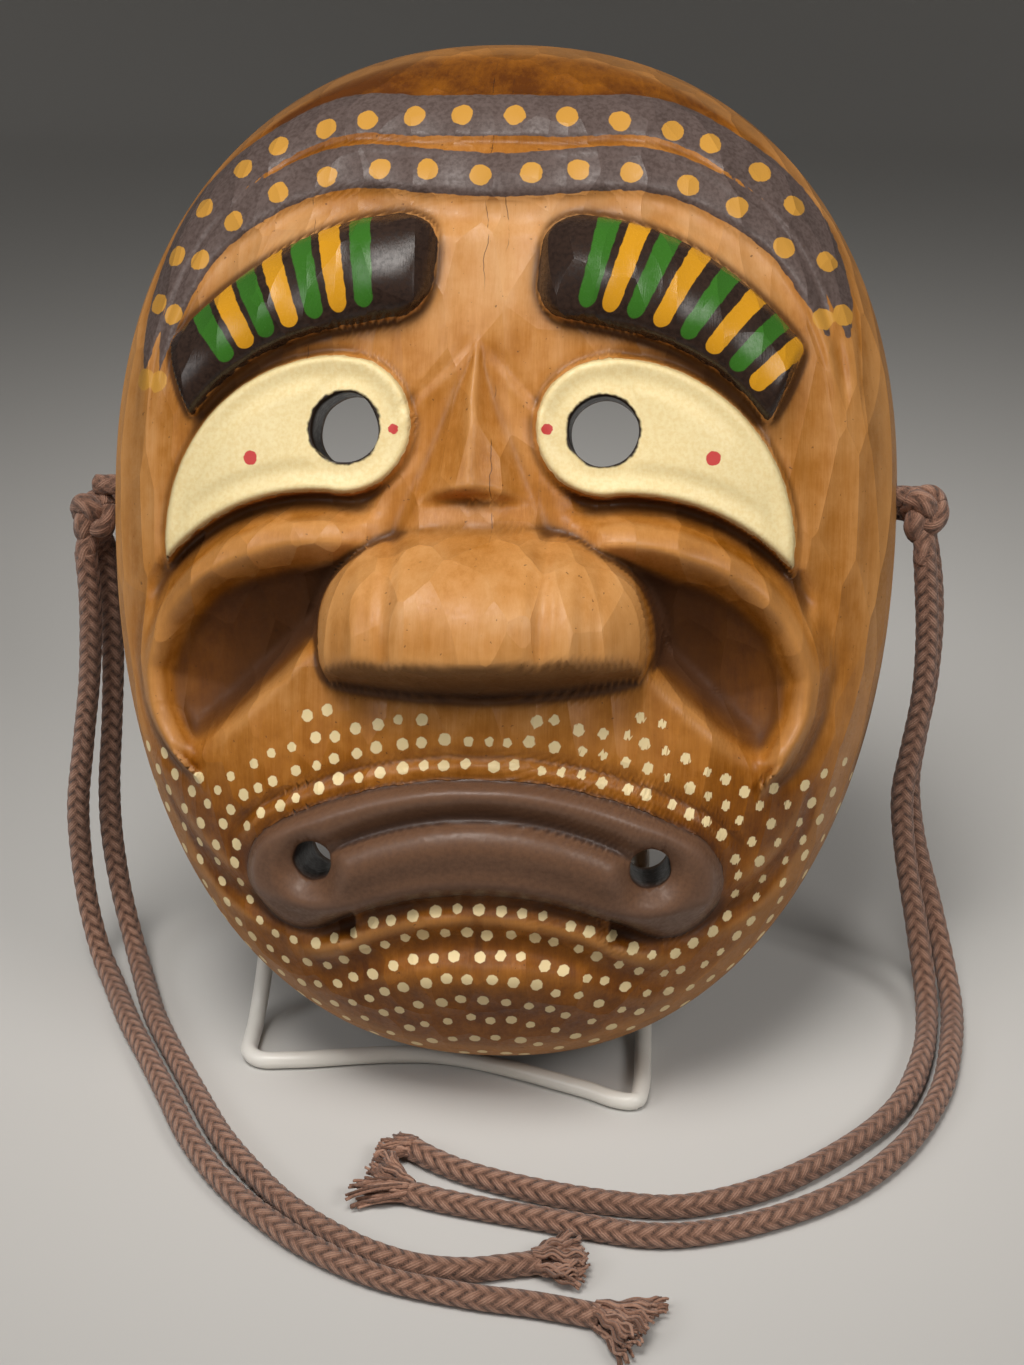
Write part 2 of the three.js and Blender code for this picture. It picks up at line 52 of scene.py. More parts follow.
# %% The camera
azimuth, elevation, roll = np.radians([4.3, 25.0, -0.7])
back = np.array([np.sin(azimuth) * np.cos(elevation), -np.cos(azimuth) * np.cos(elevation),
                 np.sin(elevation)])
level = np.cross([0, 0, 1], back)
level /= np.linalg.norm(level)
right = level * np.cos(roll) + np.cross(back, level) * np.sin(roll)
camera_at = np.array([47.6, -566.7 + SHIFT_Y, 367.7])
camera_data = bpy.data.cameras.new("photo_camera")
camera_data.lens = 71.2
camera_data.clip_start = 0.01
camera = bpy.data.objects.new("photo_camera", camera_data)
turn = Matrix((right, np.cross(back, right), back)).transposed().to_4x4()
turn.translation = camera_at * MM
camera.matrix_world = turn
bpy.context.scene.collection.objects.link(camera)
bpy.context.scene.camera = camera
bpy.context.scene.view_settings.view_transform = "Standard"
print("camera at", np.round(camera_at, 1), "mm")

# %% [markdown]
# ## Helpers for surfaces
# A surface is a grid of points. Joining each point to its neighbours gives the faces, and one call puts the
# whole array into a mesh. Bending steps are softened with an S curve, and rounded bumps use a fourth power.

# %% Helpers for surfaces
def ease(x):
    """S curve: 0 below 0, 1 above 1, and 3x² - 2x³ between them."""
    x = np.clip(x, 0, 1)
    return x * x * (3 - 2 * x)


def hump(x):
    """A smooth bump: (1 - x²)² for x from -1 to 1, and 0 outside."""
    return np.clip(1 - x * x, 0, 1) ** 2


def smooth_max(a, b, k):
    """The larger of a and b, with their crossing rounded over a width of k."""
    h = np.clip(0.5 + 0.5 * (a - b) / k, 0, 1)
    return b + (a - b) * h + k * h * (1 - h)


def smooth_min(a, b, k):
    """The smaller of a and b, rounded in the same way."""
    return -smooth_max(-a, -b, k)


def grid_faces(rows, columns, wrap=False):
    """Quads between the points of a grid; wrap joins the last column to the first."""
    index = np.arange(rows * columns).reshape(rows, columns)
    if wrap:
        index = np.concatenate([index, index[:, :1]], axis=1)
    a, b = index[:-1, :-1], index[:-1, 1:]
    c, d = index[1:, 1:], index[1:, :-1]
    return np.stack([a, b, c, d], axis=-1).reshape(-1, 4)


def add_mesh(name, points, faces, scale=MM):
    """A mesh object at the origin from an array of points and a list of face arrays."""
    mesh = bpy.data.meshes.new(name)
    mesh.from_pydata((points * scale).tolist(), [], [list(f) for part in faces for f in part.tolist()])
    mesh.shade_smooth()
    mesh.update()
    piece = bpy.data.objects.new(name, mesh)
    bpy.context.scene.collection.objects.link(piece)
    return piece


def add_attribute(mesh, name, values, kind="FLOAT"):
    """One value, or one vector, for each vertex, which a material can read by name."""
    attribute = mesh.attributes.new(name, kind, "POINT")
    key = "value" if kind == "FLOAT" else "vector"
    attribute.data.foreach_set(key, np.asarray(values, dtype=np.float32).ravel())


# %% [markdown]
# ## Routes and tubes
# A wire or a cord is a profile carried along a path. The path is a smooth curve through a few chosen points,
# and at each step two directions square to it place the profile.

# %% Routes and tubes
def smooth_route(points, step):
    """A Catmull-Rom curve through the points, resampled evenly: cubic pieces whose tangent at each point
    blends the slopes on both sides, with time between points going as the square root of their distance."""
    p = np.asarray(points, dtype=float)
    gaps = np.sqrt(np.linalg.norm(np.diff(p, axis=0), axis=1))
    t = np.concatenate([[0], np.cumsum(gaps)])
    slope = np.diff(p, axis=0) / gaps[:, None]
    tangent = np.empty_like(p)
    w = (gaps[:-1] / (gaps[:-1] + gaps[1:]))[:, None]
    tangent[1:-1] = slope[:-1] * (1 - w) + slope[1:] * w
    tangent[0] = slope[0]
    tangent[-1] = slope[-1]
    s = np.linspace(0, t[-1], 40 * len(p))
    i = np.clip(np.searchsorted(t, s, side="right") - 1, 0, len(p) - 2)
    x = ((s - t[i]) / gaps[i])[:, None]
    g = gaps[i][:, None]
    fine = ((2 * x**3 - 3 * x**2 + 1) * p[i] + (x**3 - 2 * x**2 + x) * g * tangent[i]
            + (3 * x**2 - 2 * x**3) * p[i + 1] + (x**3 - x**2) * g * tangent[i + 1])
    length = np.concatenate([[0], np.cumsum(np.linalg.norm(np.diff(fine, axis=0), axis=1))])
    even = np.linspace(0, length[-1], max(3, int(round(length[-1] / step)) + 1))
    return np.stack([np.interp(even, length, fine[:, k]) for k in range(3)], axis=1), length[-1]


def square_directions(route, away=(1, -1, 1)):
    """Two unit vectors square to the route at each step, the first square to a fixed direction too."""
    along = np.gradient(route, axis=0)
    along /= np.linalg.norm(along, axis=1)[:, None]
    side = np.cross(along, np.broadcast_to(away, route.shape))
    side /= np.linalg.norm(side, axis=1)[:, None]
    return side, np.cross(along, side)


def tube(route, radius, sides, away=(1, -1, 1)):
    """Points at radius (a number or a steps-by-sides array) round the route, and its closed faces."""
    side, up = square_directions(route, away)
    angle = np.arange(sides) / sides * 2 * np.pi
    ring = side[:, None] * np.cos(angle)[:, None] + up[:, None] * np.sin(angle)[:, None]
    radius = np.broadcast_to(radius, (len(route), sides))
    points = (route[:, None] + ring * radius[..., None]).reshape(-1, 3)
    quads = grid_faces(len(route), sides, wrap=True)
    caps = np.stack([np.arange(sides)[::-1], np.arange(sides) + (len(route) - 1) * sides])
    return points, [quads, caps]


# %% [markdown]
# ## The tie cords
# Each cord is braided cotton, 5.6 mm thick, doubled through the mask's side hole and knotted. The two tails
# of each side hang down, turn on the table and run in front of the chin. In a round braid two families of
# strands wind opposite ways, each over two and under two of the other, and the higher one shows.

# %% Cord sizes and the braid
CORD = 5.6
STRANDS = 6  # of each family, round the cord
STITCH = 3.7  # length of one crossing along the cord
TABLE_Z = CORD / 2 + 0.15


def braid_relief(around, along):
    """around is 0 to 1, along is in mm. One family keeps to a = 6·around + along/3.7, the other to the same
    with a minus. A strand's section is √sin(πx), and it rises and sinks as a sine over four crossings. Also
    returned is how far across the upper strand the place is, 0 to 1."""
    a = STRANDS * around + along / STITCH
    b = STRANDS * around - along / STITCH
    x, y = a % 1, b % 1
    first = np.sqrt(np.sin(np.pi * x)) + 0.45 * np.sin(np.pi / 2 * (np.floor(a) + b))
    second = np.sqrt(np.sin(np.pi * y)) - 0.45 * np.sin(np.pi / 2 * (np.floor(b) + a))
    return np.maximum(first, second) / 1.45, np.where(first > second, x, y)


def braided_tube(route, radius, sides, seed, away=(1, -1, 1)):
    """A tube whose radius follows the braid, with slow unevenness from handling."""
    draw = np.random.default_rng(seed)
    steps = np.concatenate([[0], np.cumsum(np.linalg.norm(np.diff(route, axis=0), axis=1))])
    around = (np.arange(sides) / sides)[None]
    relief, yarn = braid_relief(around, steps[:, None] + draw.uniform(0, 9))
    worn = 1 + 0.03 * np.sin(steps / draw.uniform(7, 12))[:, None]
    radius = radius * (0.86 + 0.16 * relief) * worn
    points, faces = tube(route, radius, sides, away)
    return points, faces, relief.ravel(), yarn.ravel()


def braided_piece(name, tubes):
    """One mesh from several braided tubes, with the braid's height and the yarns across it at each vertex."""
    first = np.cumsum([0] + [len(t[0]) for t in tubes])
    faces = [f + start for t, start in zip(tubes, first) for f in t[1]]
    piece = add_mesh(name, np.concatenate([t[0] for t in tubes]), faces)
    add_attribute(piece.data, "braid", np.concatenate([t[2] for t in tubes]))
    add_attribute(piece.data, "yarn", np.concatenate([t[3] for t in tubes]))
    return piece


# %% [markdown]
# The routes below are the same as the solid model's.

# %% The four tails
tails = {
    "left_tail_a": [
        (-103.4, 42.4, 116.2), (-103.2, 42.2, 104), (-104.8, 42, 84), (-108, 42, 64), (-110.8, 42, 46),
        (-111.2, 42, 31), (-109.8, 39.8, 17), (-106, 33.5, 6.8), (-101.4, 25, TABLE_Z + 0.5),
        (-93.5, 6.8, TABLE_Z + 0.1), (-87.2, -6, TABLE_Z), (-77.6, -25.7, TABLE_Z),
        (-69.2, -43, TABLE_Z), (-59.5, -58.5, TABLE_Z), (-48.2, -71.6, TABLE_Z), (-34, -84, TABLE_Z),
        (-18, -93.2, TABLE_Z), (1.4, -98.4, TABLE_Z), (16, -100.6, TABLE_Z), (30, -103.8, TABLE_Z)],
    "left_tail_b": [
        (-100, 49, 115.6), (-99.6, 49.2, 102), (-100.2, 49.2, 86), (-102, 49.2, 66), (-104, 49.2, 48),
        (-104.4, 49.2, 34), (-102.8, 47.2, 19), (-99.2, 41, 7.8), (-94.4, 29, TABLE_Z + 0.5),
        (-87.6, 10, TABLE_Z + 0.1), (-80.8, -4.6, TABLE_Z), (-71.4, -23.4, TABLE_Z),
        (-61.8, -42, TABLE_Z), (-53.2, -54.6, TABLE_Z), (-42.6, -67.6, TABLE_Z),
        (-31.8, -77.4, TABLE_Z), (-21, -84.6, TABLE_Z), (-10, -88.8, TABLE_Z), (0.7, -89.4, TABLE_Z),
        (8, -87.8, TABLE_Z), (16, -85.8, TABLE_Z)],
    "right_tail_a": [
        (102, 42.2, 120.3), (103, 42.2, 110), (103.8, 42.2, 98), (103.5, 42.2, 82), (101.5, 42.2, 66),
        (100, 42.2, 54), (101.4, 41.4, 38), (105, 37, 19), (107, 29, 7.6), (107.2, 19, TABLE_Z + 0.5),
        (104.6, 0, TABLE_Z + 0.1), (97.8, -20.8, TABLE_Z), (84.3, -39.3, TABLE_Z),
        (66, -55.4, TABLE_Z), (47, -63.6, TABLE_Z), (32, -63.4, TABLE_Z), (14, -59.6, TABLE_Z),
        (-3, -53.3, TABLE_Z), (-11, -48.6, TABLE_Z), (-17, -44, TABLE_Z)],
    "right_tail_b": [
        (103, 48.6, 120.2), (104.6, 48.8, 110), (105.4, 48.8, 98), (105, 48.8, 82), (103, 48.8, 66),
        (102, 48.8, 54), (104.2, 48.4, 38), (109.4, 44.4, 20), (112.6, 36, 8.2),
        (113.7, 24, TABLE_Z + 0.5), (112, 5, TABLE_Z + 0.1), (108, -15, TABLE_Z), (98, -37.8, TABLE_Z),
        (83.9, -55.4, TABLE_Z), (66, -67.6, TABLE_Z), (48.7, -74, TABLE_Z), (38, -74.8, TABLE_Z),
        (28.9, -73.2, TABLE_Z), (16, -70.2, TABLE_Z), (2, -67, TABLE_Z), (-8.4, -64.2, TABLE_Z),
        (-16.4, -61.4, TABLE_Z)],
}
tips = {"left_tail_a": (42, -111.5), "left_tail_b": (28, -84),
        "right_tail_a": (-24, -40.6), "right_tail_b": (-29, -57)}
to_row = np.array([0, SHIFT_Y, 0])
tail_routes, tail_lengths, tail_pieces = {}, {}, {}
for number, (name, points) in enumerate(tails.items()):
    route, tail_lengths[name] = smooth_route(np.array(points) + to_row, 0.42)
    tail_routes[name] = route
    braid = braided_tube(route, CORD / 2, 42, 20 + number)
    tail_pieces[name] = braided_piece(name + "_braid", [braid])
    print(name, round(tail_lengths[name], 1), "mm,", len(braid[0]), "points")

# %% [markdown]
# ## Frayed ends
# The braid was cut and never sealed, so each end has opened into a tuft of crimped yarns that fans out on the
# table. A yarn keeps the wave that the braid gave it, and all yarns of a tuft are worked out as one array.

# %% Frayed ends
def frayed_end(name, end, heading, reach, seed, strands=12, yarns=10):
    """Each strand leaves at an angle that grows with how far off the middle it starts. Its yarns stay near it
    and share its wave: offset = fan·far + crimp·sin(far/wave) + bend·t²."""
    draw = np.random.default_rng(seed)

    def shared(low, high, own=0.0):
        """A value for each strand, with a little of each yarn's own."""
        return np.repeat(draw.uniform(low, high, strands), yarns) + draw.normal(0, own, strands * yarns)

    count = strands * yarns
    radius = CORD / 2 * np.clip(np.sqrt(shared(0, 1)) + draw.normal(0, 0.12, count), 0, 0.9)
    spin = shared(0, 2 * np.pi, 0.25)
    across, height = radius * np.cos(spin), radius * np.sin(spin)
    length = reach * np.clip(shared(0.78, 1.0, 0.05), 0.6, 1.02)
    fan = across / (CORD / 2) * 0.64 + shared(-0.12, 0.12, 0.05)
    t = np.linspace(0, 1, 22)
    far = length[:, None] * t
    crimp = shared(0.3, 0.7)[:, None] * np.sin(far / shared(0.8, 1.1)[:, None] + shared(0, 6)[:, None])
    crimp *= ease(t * 3)
    bend = shared(-0.3, 0.3, 0.04)[:, None] * t**2 * length[:, None]
    x = -1.6 + far * np.cos(fan)[:, None] - 0.3 * np.abs(bend)
    y = across[:, None] + far * np.sin(fan)[:, None] + crimp + bend
    rest = shared(0.5, 4.6, 0.3)[:, None]
    lift = shared(-0.5, 1.4)[:, None] * hump(t - 0.6)
    z = TABLE_Z + height[:, None] * (1 - t) + (rest - TABLE_Z) * t + lift + 0.5 * crimp
    z = np.clip(z, 0.45, 6.2)
    forward = np.array([np.cos(heading), np.sin(heading), 0])
    sideways = np.array([-np.sin(heading), np.cos(heading), 0])
    line = end * [1, 1, 0] + x[..., None] * forward + y[..., None] * sideways + z[..., None] * [0, 0, 1]
    along = np.gradient(line, axis=1)
    along /= np.linalg.norm(along, axis=2)[..., None]
    side = np.cross(along, [0, 0, 1.0])
    side /= np.linalg.norm(side, axis=2)[..., None]
    up = np.cross(side, along)
    angle = np.arange(5) / 5 * 2 * np.pi
    thick = 0.42 * (1 - 0.2 * t)[None, :, None, None]
    ring = side[:, :, None] * np.cos(angle)[:, None] + up[:, :, None] * np.sin(angle)[:, None]
    points = line[:, :, None] + ring * thick
    quads = grid_faces(len(t), 5, wrap=True)
    caps = np.stack([np.arange(5)[::-1], np.arange(5) + (len(t) - 1) * 5])
    first = np.arange(count)[:, None, None] * (len(t) * 5)
    faces = [(quads + first).reshape(-1, 4), (caps + first).reshape(-1, 5)]
    piece = add_mesh(name, points.reshape(-1, 3), faces)
    shade = np.broadcast_to(draw.uniform(0.5, 1.0, count)[:, None, None], points.shape[:3])
    add_attribute(piece.data, "braid", shade)
    add_attribute(piece.data, "yarn", np.zeros(shade.shape))
    return piece


frays = {}
for number, (name, tip) in enumerate(tips.items()):
    end = tail_routes[name][-1]
    step = np.array([tip[0], tip[1] + SHIFT_Y]) - end[:2]
    heading = np.arctan2(step[1], step[0]) + (0.16 if name == "left_tail_a" else 0.0)
    frays[name] = frayed_end(name.replace("tail", "fray") + "_yarns", end, heading,
                             np.linalg.norm(step) + 0.5, 40 + number)
    print(name, "tuft reaches", round(float(np.hypot(*step)), 1), "mm")

# %% [markdown]
# ## Knots
# Each doubled cord is tied in an overhand knot against the mask's edge. A trefoil is the overhand knot with
# its ends joined: it is pulled tight here, so that its turns press into each other, and a plain loop goes
# from it through the hole and back round the rim.

# %% Knots
LEAN = np.radians(23)
RIM_HEIGHT = 250.0
RIM_MIDDLE = np.array([0, RIM_HEIGHT / 2 * np.sin(LEAN) + SHIFT_Y, RIM_HEIGHT / 2 * np.cos(LEAN) + 0.2])
RIM_UP = np.array([0, np.sin(LEAN), np.cos(LEAN)])
RIM_OUT = np.array([0, -np.cos(LEAN), np.sin(LEAN)])
HOLE_UP, HOLE_OUT = 15.0, 9.5


def on_mask(u, v, w):
    """From the mask's own frame (u across, v up the rim, w out of it) to the row's frame, in mm."""
    u, v, w = np.broadcast_arrays(u, v, w)
    return RIM_MIDDLE + u[..., None] * [1, 0, 0] + v[..., None] * RIM_UP + w[..., None] * RIM_OUT


def knot(side, centre, seed):
    """Trefoil: ((1.9 + cos 3t)·cos 2t, sin 3t, (1.9 + cos 3t)·sin 2t), squeezed to a bead 16 mm tall. The
    tails run up into it."""
    t = np.linspace(0, 2 * np.pi, 170)
    bead = np.stack([1.25 * (1.9 + np.cos(3 * t)) * np.cos(2 * t + 0.5), 2.3 * np.sin(3 * t),
                     1.75 * (1.9 + np.cos(3 * t)) * np.sin(2 * t + 0.5)], axis=1)
    tubes = [braided_tube(bead + centre, 2.7, 28, seed, away=bead + [0.01, 0, 0])]
    s = -1 if side == "left" else 1
    loop = on_mask(np.array([100.5, 95, 87, 80.5, 78.5, 81.5, 88, 95, 100, 101]) * s,
                   np.array([15, 15, 15, 15, 14, 13, 12.5, 12, 11.5, 12]),
                   np.array([8, 9.5, 9.5, 8, 3, -3.4, -4.4, -4, -0.5, 4]))
    route, length = smooth_route(loop, 0.5)
    tubes.append(braided_tube(route, 2.5, 24, seed + 1, away=(0.05, 1, 0.3)))
    for number, tail in enumerate((side + "_tail_a", side + "_tail_b")):
        start = tail_routes[tail][0]
        neck = [start - [0, 0, 3], start, 0.55 * start + 0.45 * centre, centre + [0, 0, 2]]
        tubes.append(braided_tube(smooth_route(neck, 0.5)[0], 2.72, 28, seed + 2 + number))
    print(side, "knot, loop of", round(length, 1), "mm")
    return braided_piece(side + "_knot_braid", tubes)


knots = {
    "left": knot("left", np.array([-101.4, 45.6 + SHIFT_Y, 124.4]), 60),
    "right": knot("right", np.array([101.5, 45.4 + SHIFT_Y, 128.6]), 64),
}

# %% [markdown]
# ## The mask: its outline and its plain dome
# The face is a height w over a flat rim, for each place (u, v) in the rim's plane. Under the carving it is a
# dome: flat in the middle, steep at the rim, with an egg-shaped outline.

# %% The mask: its outline and its plain dome
HALF_WIDTH, UPPER, LOWER = 95.3, 108.5, 137.0
WIDEST_AT, OUTLINE_POWER, DOME = 14.0, 2.22, 64.0
RIM_WIDTH, HOLLOW = 9.5, 46.0
PUPIL_OUT, PUPIL_UP = 29.0, 26.5
FACE_OFF = 3.0  # how far off the middle the upper face is carved


def outline_share(u, v, inset=0.0):
    """Share of the way out to the superellipse |x/a|^p + |y/b|^p = 1, with b larger below than above."""
    a, b = HALF_WIDTH - inset, np.where(v - WIDEST_AT > 0, UPPER, LOWER) - inset
    p = OUTLINE_POWER
    return ((np.abs(u) / a) ** p + (np.abs(v - WIDEST_AT) / b) ** p) ** (1 / p)


def dome(u, v):
    """Height 64·(1 - s^p)^(1/2.4), where s is the share of the way to the outline, and p grows downwards."""
    share = outline_share(u, v)
    down = np.clip((WIDEST_AT - v) / LOWER / np.maximum(share, 1e-6), 0, 1)
    return (DOME + 2 * ease(-v / 60)) * np.clip(1 - share ** (2.7 + 2 * down**2), 0, 1) ** (1 / 2.4)


def outline(angle, inset):
    """The point of the outline, or of one drawn inset mm inside it, at an angle from its widest line."""
    c, s = np.cos(angle), np.sin(angle)
    b = np.where(s > 0, UPPER, LOWER) - inset
    a = HALF_WIDTH - inset
    r = ((np.abs(c) / a) ** OUTLINE_POWER + (np.abs(s) / b) ** OUTLINE_POWER) ** (-1 / OUTLINE_POWER)
    return r * c, r * s


# %% [markdown]
# ## The mask: brow bands and eyebrows
# Two painted bands arch over the forehead with a groove between them, and each eyebrow is a thick bent roll,
# round towards the nose and cut off square at the temple. Each form is a signed distance to its outline,
# which both the carving and the paint read, so the paint ends exactly where the step is.

# %% The mask: brow bands and eyebrows
def arch_distance(u, v, a, b):
    """Distance to the arch |u/a|^3.4 + |v/b|^3.4 = 1, as its value over its slope."""
    U, V = np.abs(u) / a + 1e-9, np.maximum(v, 1e-3) / b
    s = U**3.4 + V**3.4
    k = s ** (1 / 3.4 - 1)
    return (s ** (1 / 3.4) - 1) / np.hypot(k * U**2.4 / a, k * V**2.4 / b)


def bands(u, v):
    """Distances to the middles of the two bands, and half their width, which narrows to the ends."""
    wave = hump((np.abs(u) - 36) / 21)
    upper = arch_distance(u, v, 83.7, 98.9) - 2.3 * wave
    lower = arch_distance(u, v + 2.2 * np.exp(-((u / 18) ** 2)), 80.0, 86.3) - 1.4 * wave
    return upper, lower, 1.5 + 1.9 * ease((v - 38) / 26) + 2 * ease((v - 60) / 24)


def forehead(u, v):
    """Each band stands 1.25 mm proud, with a thin cut over the upper one and a wide groove between them."""
    upper, lower, half = bands(u, v)
    relief = 1.25 * ease((half + 0.9 - np.abs(upper)) / 1.8) * (1 + 0.5 * hump(upper / (half + 1)))
    relief += 1.25 * ease((half + 0.9 - np.abs(lower)) / 1.8) * (1 + 0.5 * hump(lower / (half + 1)))
    relief -= 0.9 * hump((upper + half + 1.6) / 1.5)
    relief -= 1.3 * hump((lower + half + 4.5) / 6.5) * ease((v - 45) / 20)
    relief += hump((upper + 7.2) / 3) * ease((v - 70) / 20)
    return relief * ease((v - 22) / 30)


BROW_BEND = 75.5


def brow_place(U, v):
    """Along and across the brow, which bends on a circle; then its half width and its distance."""
    across = np.hypot(U - 12.9, v + 12) - BROW_BEND
    along = BROW_BEND * np.arctan2(U - 12.9, v + 12)
    half = 12.3 - 3.4 * ease((along - 12) / 50)
    inner = along < 31
    radius = np.where(inner, 9.0, 1.5)
    qx = np.where(inner, -1.5 - along, along - 64.5 + 0.5 * across) + radius
    qy = np.abs(across) - half + radius
    distance = np.hypot(np.maximum(qx, 0), np.maximum(qy, 0)) + np.minimum(np.maximum(qx, qy), 0) - radius
    return along, across, half, distance


def brow(U, v):
    """9 mm high with a section of (1 - x²)^0.42, rounded down at the nose end."""
    along, across, half, distance = brow_place(U, v)
    section = np.clip(1 - (across + 0.8) ** 2 / (half + 0.8) ** 2, 0, 1) ** 0.42
    end = np.clip(1 - np.clip((12 - along) / 13.5, 0, 1) ** 2.4, 0, 1) ** 0.5
    return 9.0 * section * end * ease((0.5 - distance) / 1.6)


# %% [markdown]
# ## The mask: eyes and cheeks
# Each eye is a tear-shaped plate: a disc joined to the sliver between two arcs. Below it a trench runs out to
# the tip, and beside the nose a deep scoop is circled by the raised roll of the cheek.

# %% The mask: eyes and cheeks
def eye_distance(U, v):
    """Union of a disc and the lens between two circles, cut off at the disc's middle; negative inside."""
    ball = np.hypot(U - 29.3, v - 27.2) - 15.4
    upper = np.hypot(U - 30.5, v - 1.0) - 41.9
    lower = 50.5 - np.hypot(U - 35.0, v + 38.3)
    below = np.where(U > 29.3, lower, ball)
    return np.minimum(ball, np.maximum(np.maximum(upper, lower), 29.3 - U)), below


def eye(U, v):
    """A plate 2.9 mm proud, dished round the pupil, with a groove along its edge and a trench under it."""
    d, below = eye_distance(U, v)
    pupil = np.hypot(U - PUPIL_OUT, v - PUPIL_UP)
    relief = 2.9 * ease((0.7 - d) / 1.8)
    relief -= 1.9 * np.exp(-((pupil / 12.5) ** 2)) * ease(-d / 2)
    relief -= 0.7 * hump((d + 4.6) / 3.4)
    relief -= (4.2 * hump((below - 2.4) / 5.2) * ease((20 - v) / 8) * ease((U - 17) / 10)
               * (1 - ease((U - 74) / 5)) * ease((d + 0.5) / 1.2))
    return relief - 0.5 * hump((d - 1.4) / 1.6)


def from_crest(U, v):
    """Distance outwards from the cheek's crest, and the angle round the scoop from straight up (degrees)."""
    turn = np.degrees(np.arctan2(U - 30.5, v + 40))
    radius = 40.5 + np.interp(turn, [0, 25, 45, 60, 75, 86, 96, 110], [0.3, 2, 5, 6.6, 6.6, 4.4, 1, -4])
    return np.hypot(U - 30.5, v + 40) - radius, turn


def past_muzzle(U, v):
    """Distance outwards from the slanting edge where the muzzle ends and the scoop begins."""
    return (U - 36) * 0.685 + (v + 25) * 0.728


def cheek(U, v):
    """A crest about 45 mm from the scoop's middle: outside it a roll falls away, inside it a bevel turns
    over into the scoop, which drops 20 mm in all."""
    out, turn = from_crest(U, v)
    width = np.interp(turn, [-20, 0, 30, 60, 80, 100, 115], [9, 11, 12, 9, 6, 5, 3])
    stop = 1 - ease((turn - 104) / 14)
    crest = 6.0 * ease((turn + 18) / 22) * stop
    roll = np.where(out > 0, crest * (1 - ease(out / width)), crest)
    valley = -1.2 * hump((out - width) / 4.5) * ease((turn - 40) / 20) * stop
    near_wall = ease(past_muzzle(U, v) / 9)
    inside = np.maximum(-out, 0)
    drop = 2.5 * np.clip(inside / 4.5, 0, 1) + 17 * (1 - (1 - np.clip((inside - 3.5) / 32, 0, 1)) ** 1.6)
    hollow = -(drop + crest * ease(inside / 8)) * near_wall - np.where(out <= 0, crest * (1 - near_wall), 0)
    return roll + valley + hollow


# %% [markdown]
# ## The mask: nose, mouth and chin
# The bridge is a narrow pyramid that ends in a crease, and a broad bulb starts under it. The mouth is a
# frowning capsule round an arc, with a seam, a dimple at each corner and folds above and below.

# %% The mask: nose, mouth and chin
def nose_top(u, U, v):
    """Height over the rim: a roof for the bridge, a flat saddle, a dome 26 mm high, slanted underneath."""
    ground = 60.0
    t = np.clip((46 - v) / 34, 0, 1.25)
    x = U / (1 + 17 * t)
    ridge = ground + 3.8 + 10.2 * t**0.8
    saddle = 67 + 0.3 * np.clip(10 - v, 0, 12) - 0.01 * U**2 - np.maximum(U - 15, 0) ** 1.25
    fade = ease((v - 10 + 0.01 * U**2) / 3.6)
    bridge = np.where(v > 46.5, 0, ridge - (ridge - ground + 1.5) * (0.75 * x + 0.25 * x**3))
    bridge = np.where(v > -10, bridge * fade + (1 - fade) * np.minimum(bridge, saddle), 0)
    dv = v + 21
    share = ((np.abs(u) / 36.8) ** 2.5 + (np.abs(dv) / np.where(dv > 0, 25.6, 19.2)) ** 2.5) ** 0.4
    power = 0.5 + 0.42 * np.clip(dv / 25.6 / np.maximum(share, 1e-3), 0, 1) ** 2
    bulb = 66 + 26 * np.clip(1 - share**2.4, 0, 1) ** power - 190 * np.maximum(share - 1, 0)
    bulb += 0.7 * hump((U - 23.5) / 3) - 1.7 * hump((U - 16.8) / 3.4) - 0.5 * hump((U - 29.5) / 2.4)
    bulb = smooth_min(bulb, 88 + 3.2 * (v + 27.2 - 0.004 * U**2), 1.6)
    return smooth_max(bridge, bulb, 4.0)


LIP_ARC, LIP_CENTRE, LIP_HALF = 89.0, -153.7, 13.1
LIP_ANGLE = np.arcsin(41.5 / LIP_ARC)  # where the lips' round ends begin


def lip_place(u, v):
    """Distance to the lips' outline, then the place across and along their arc of 89 mm."""
    dv = v - LIP_CENTRE
    angle = np.arctan2(u, dv)
    close = np.clip(angle, -LIP_ANGLE, LIP_ANGLE)
    distance = np.hypot(u - LIP_ARC * np.sin(close), dv - LIP_ARC * np.cos(close)) - LIP_HALF
    return distance, np.hypot(u, dv) - LIP_ARC, angle * LIP_ARC


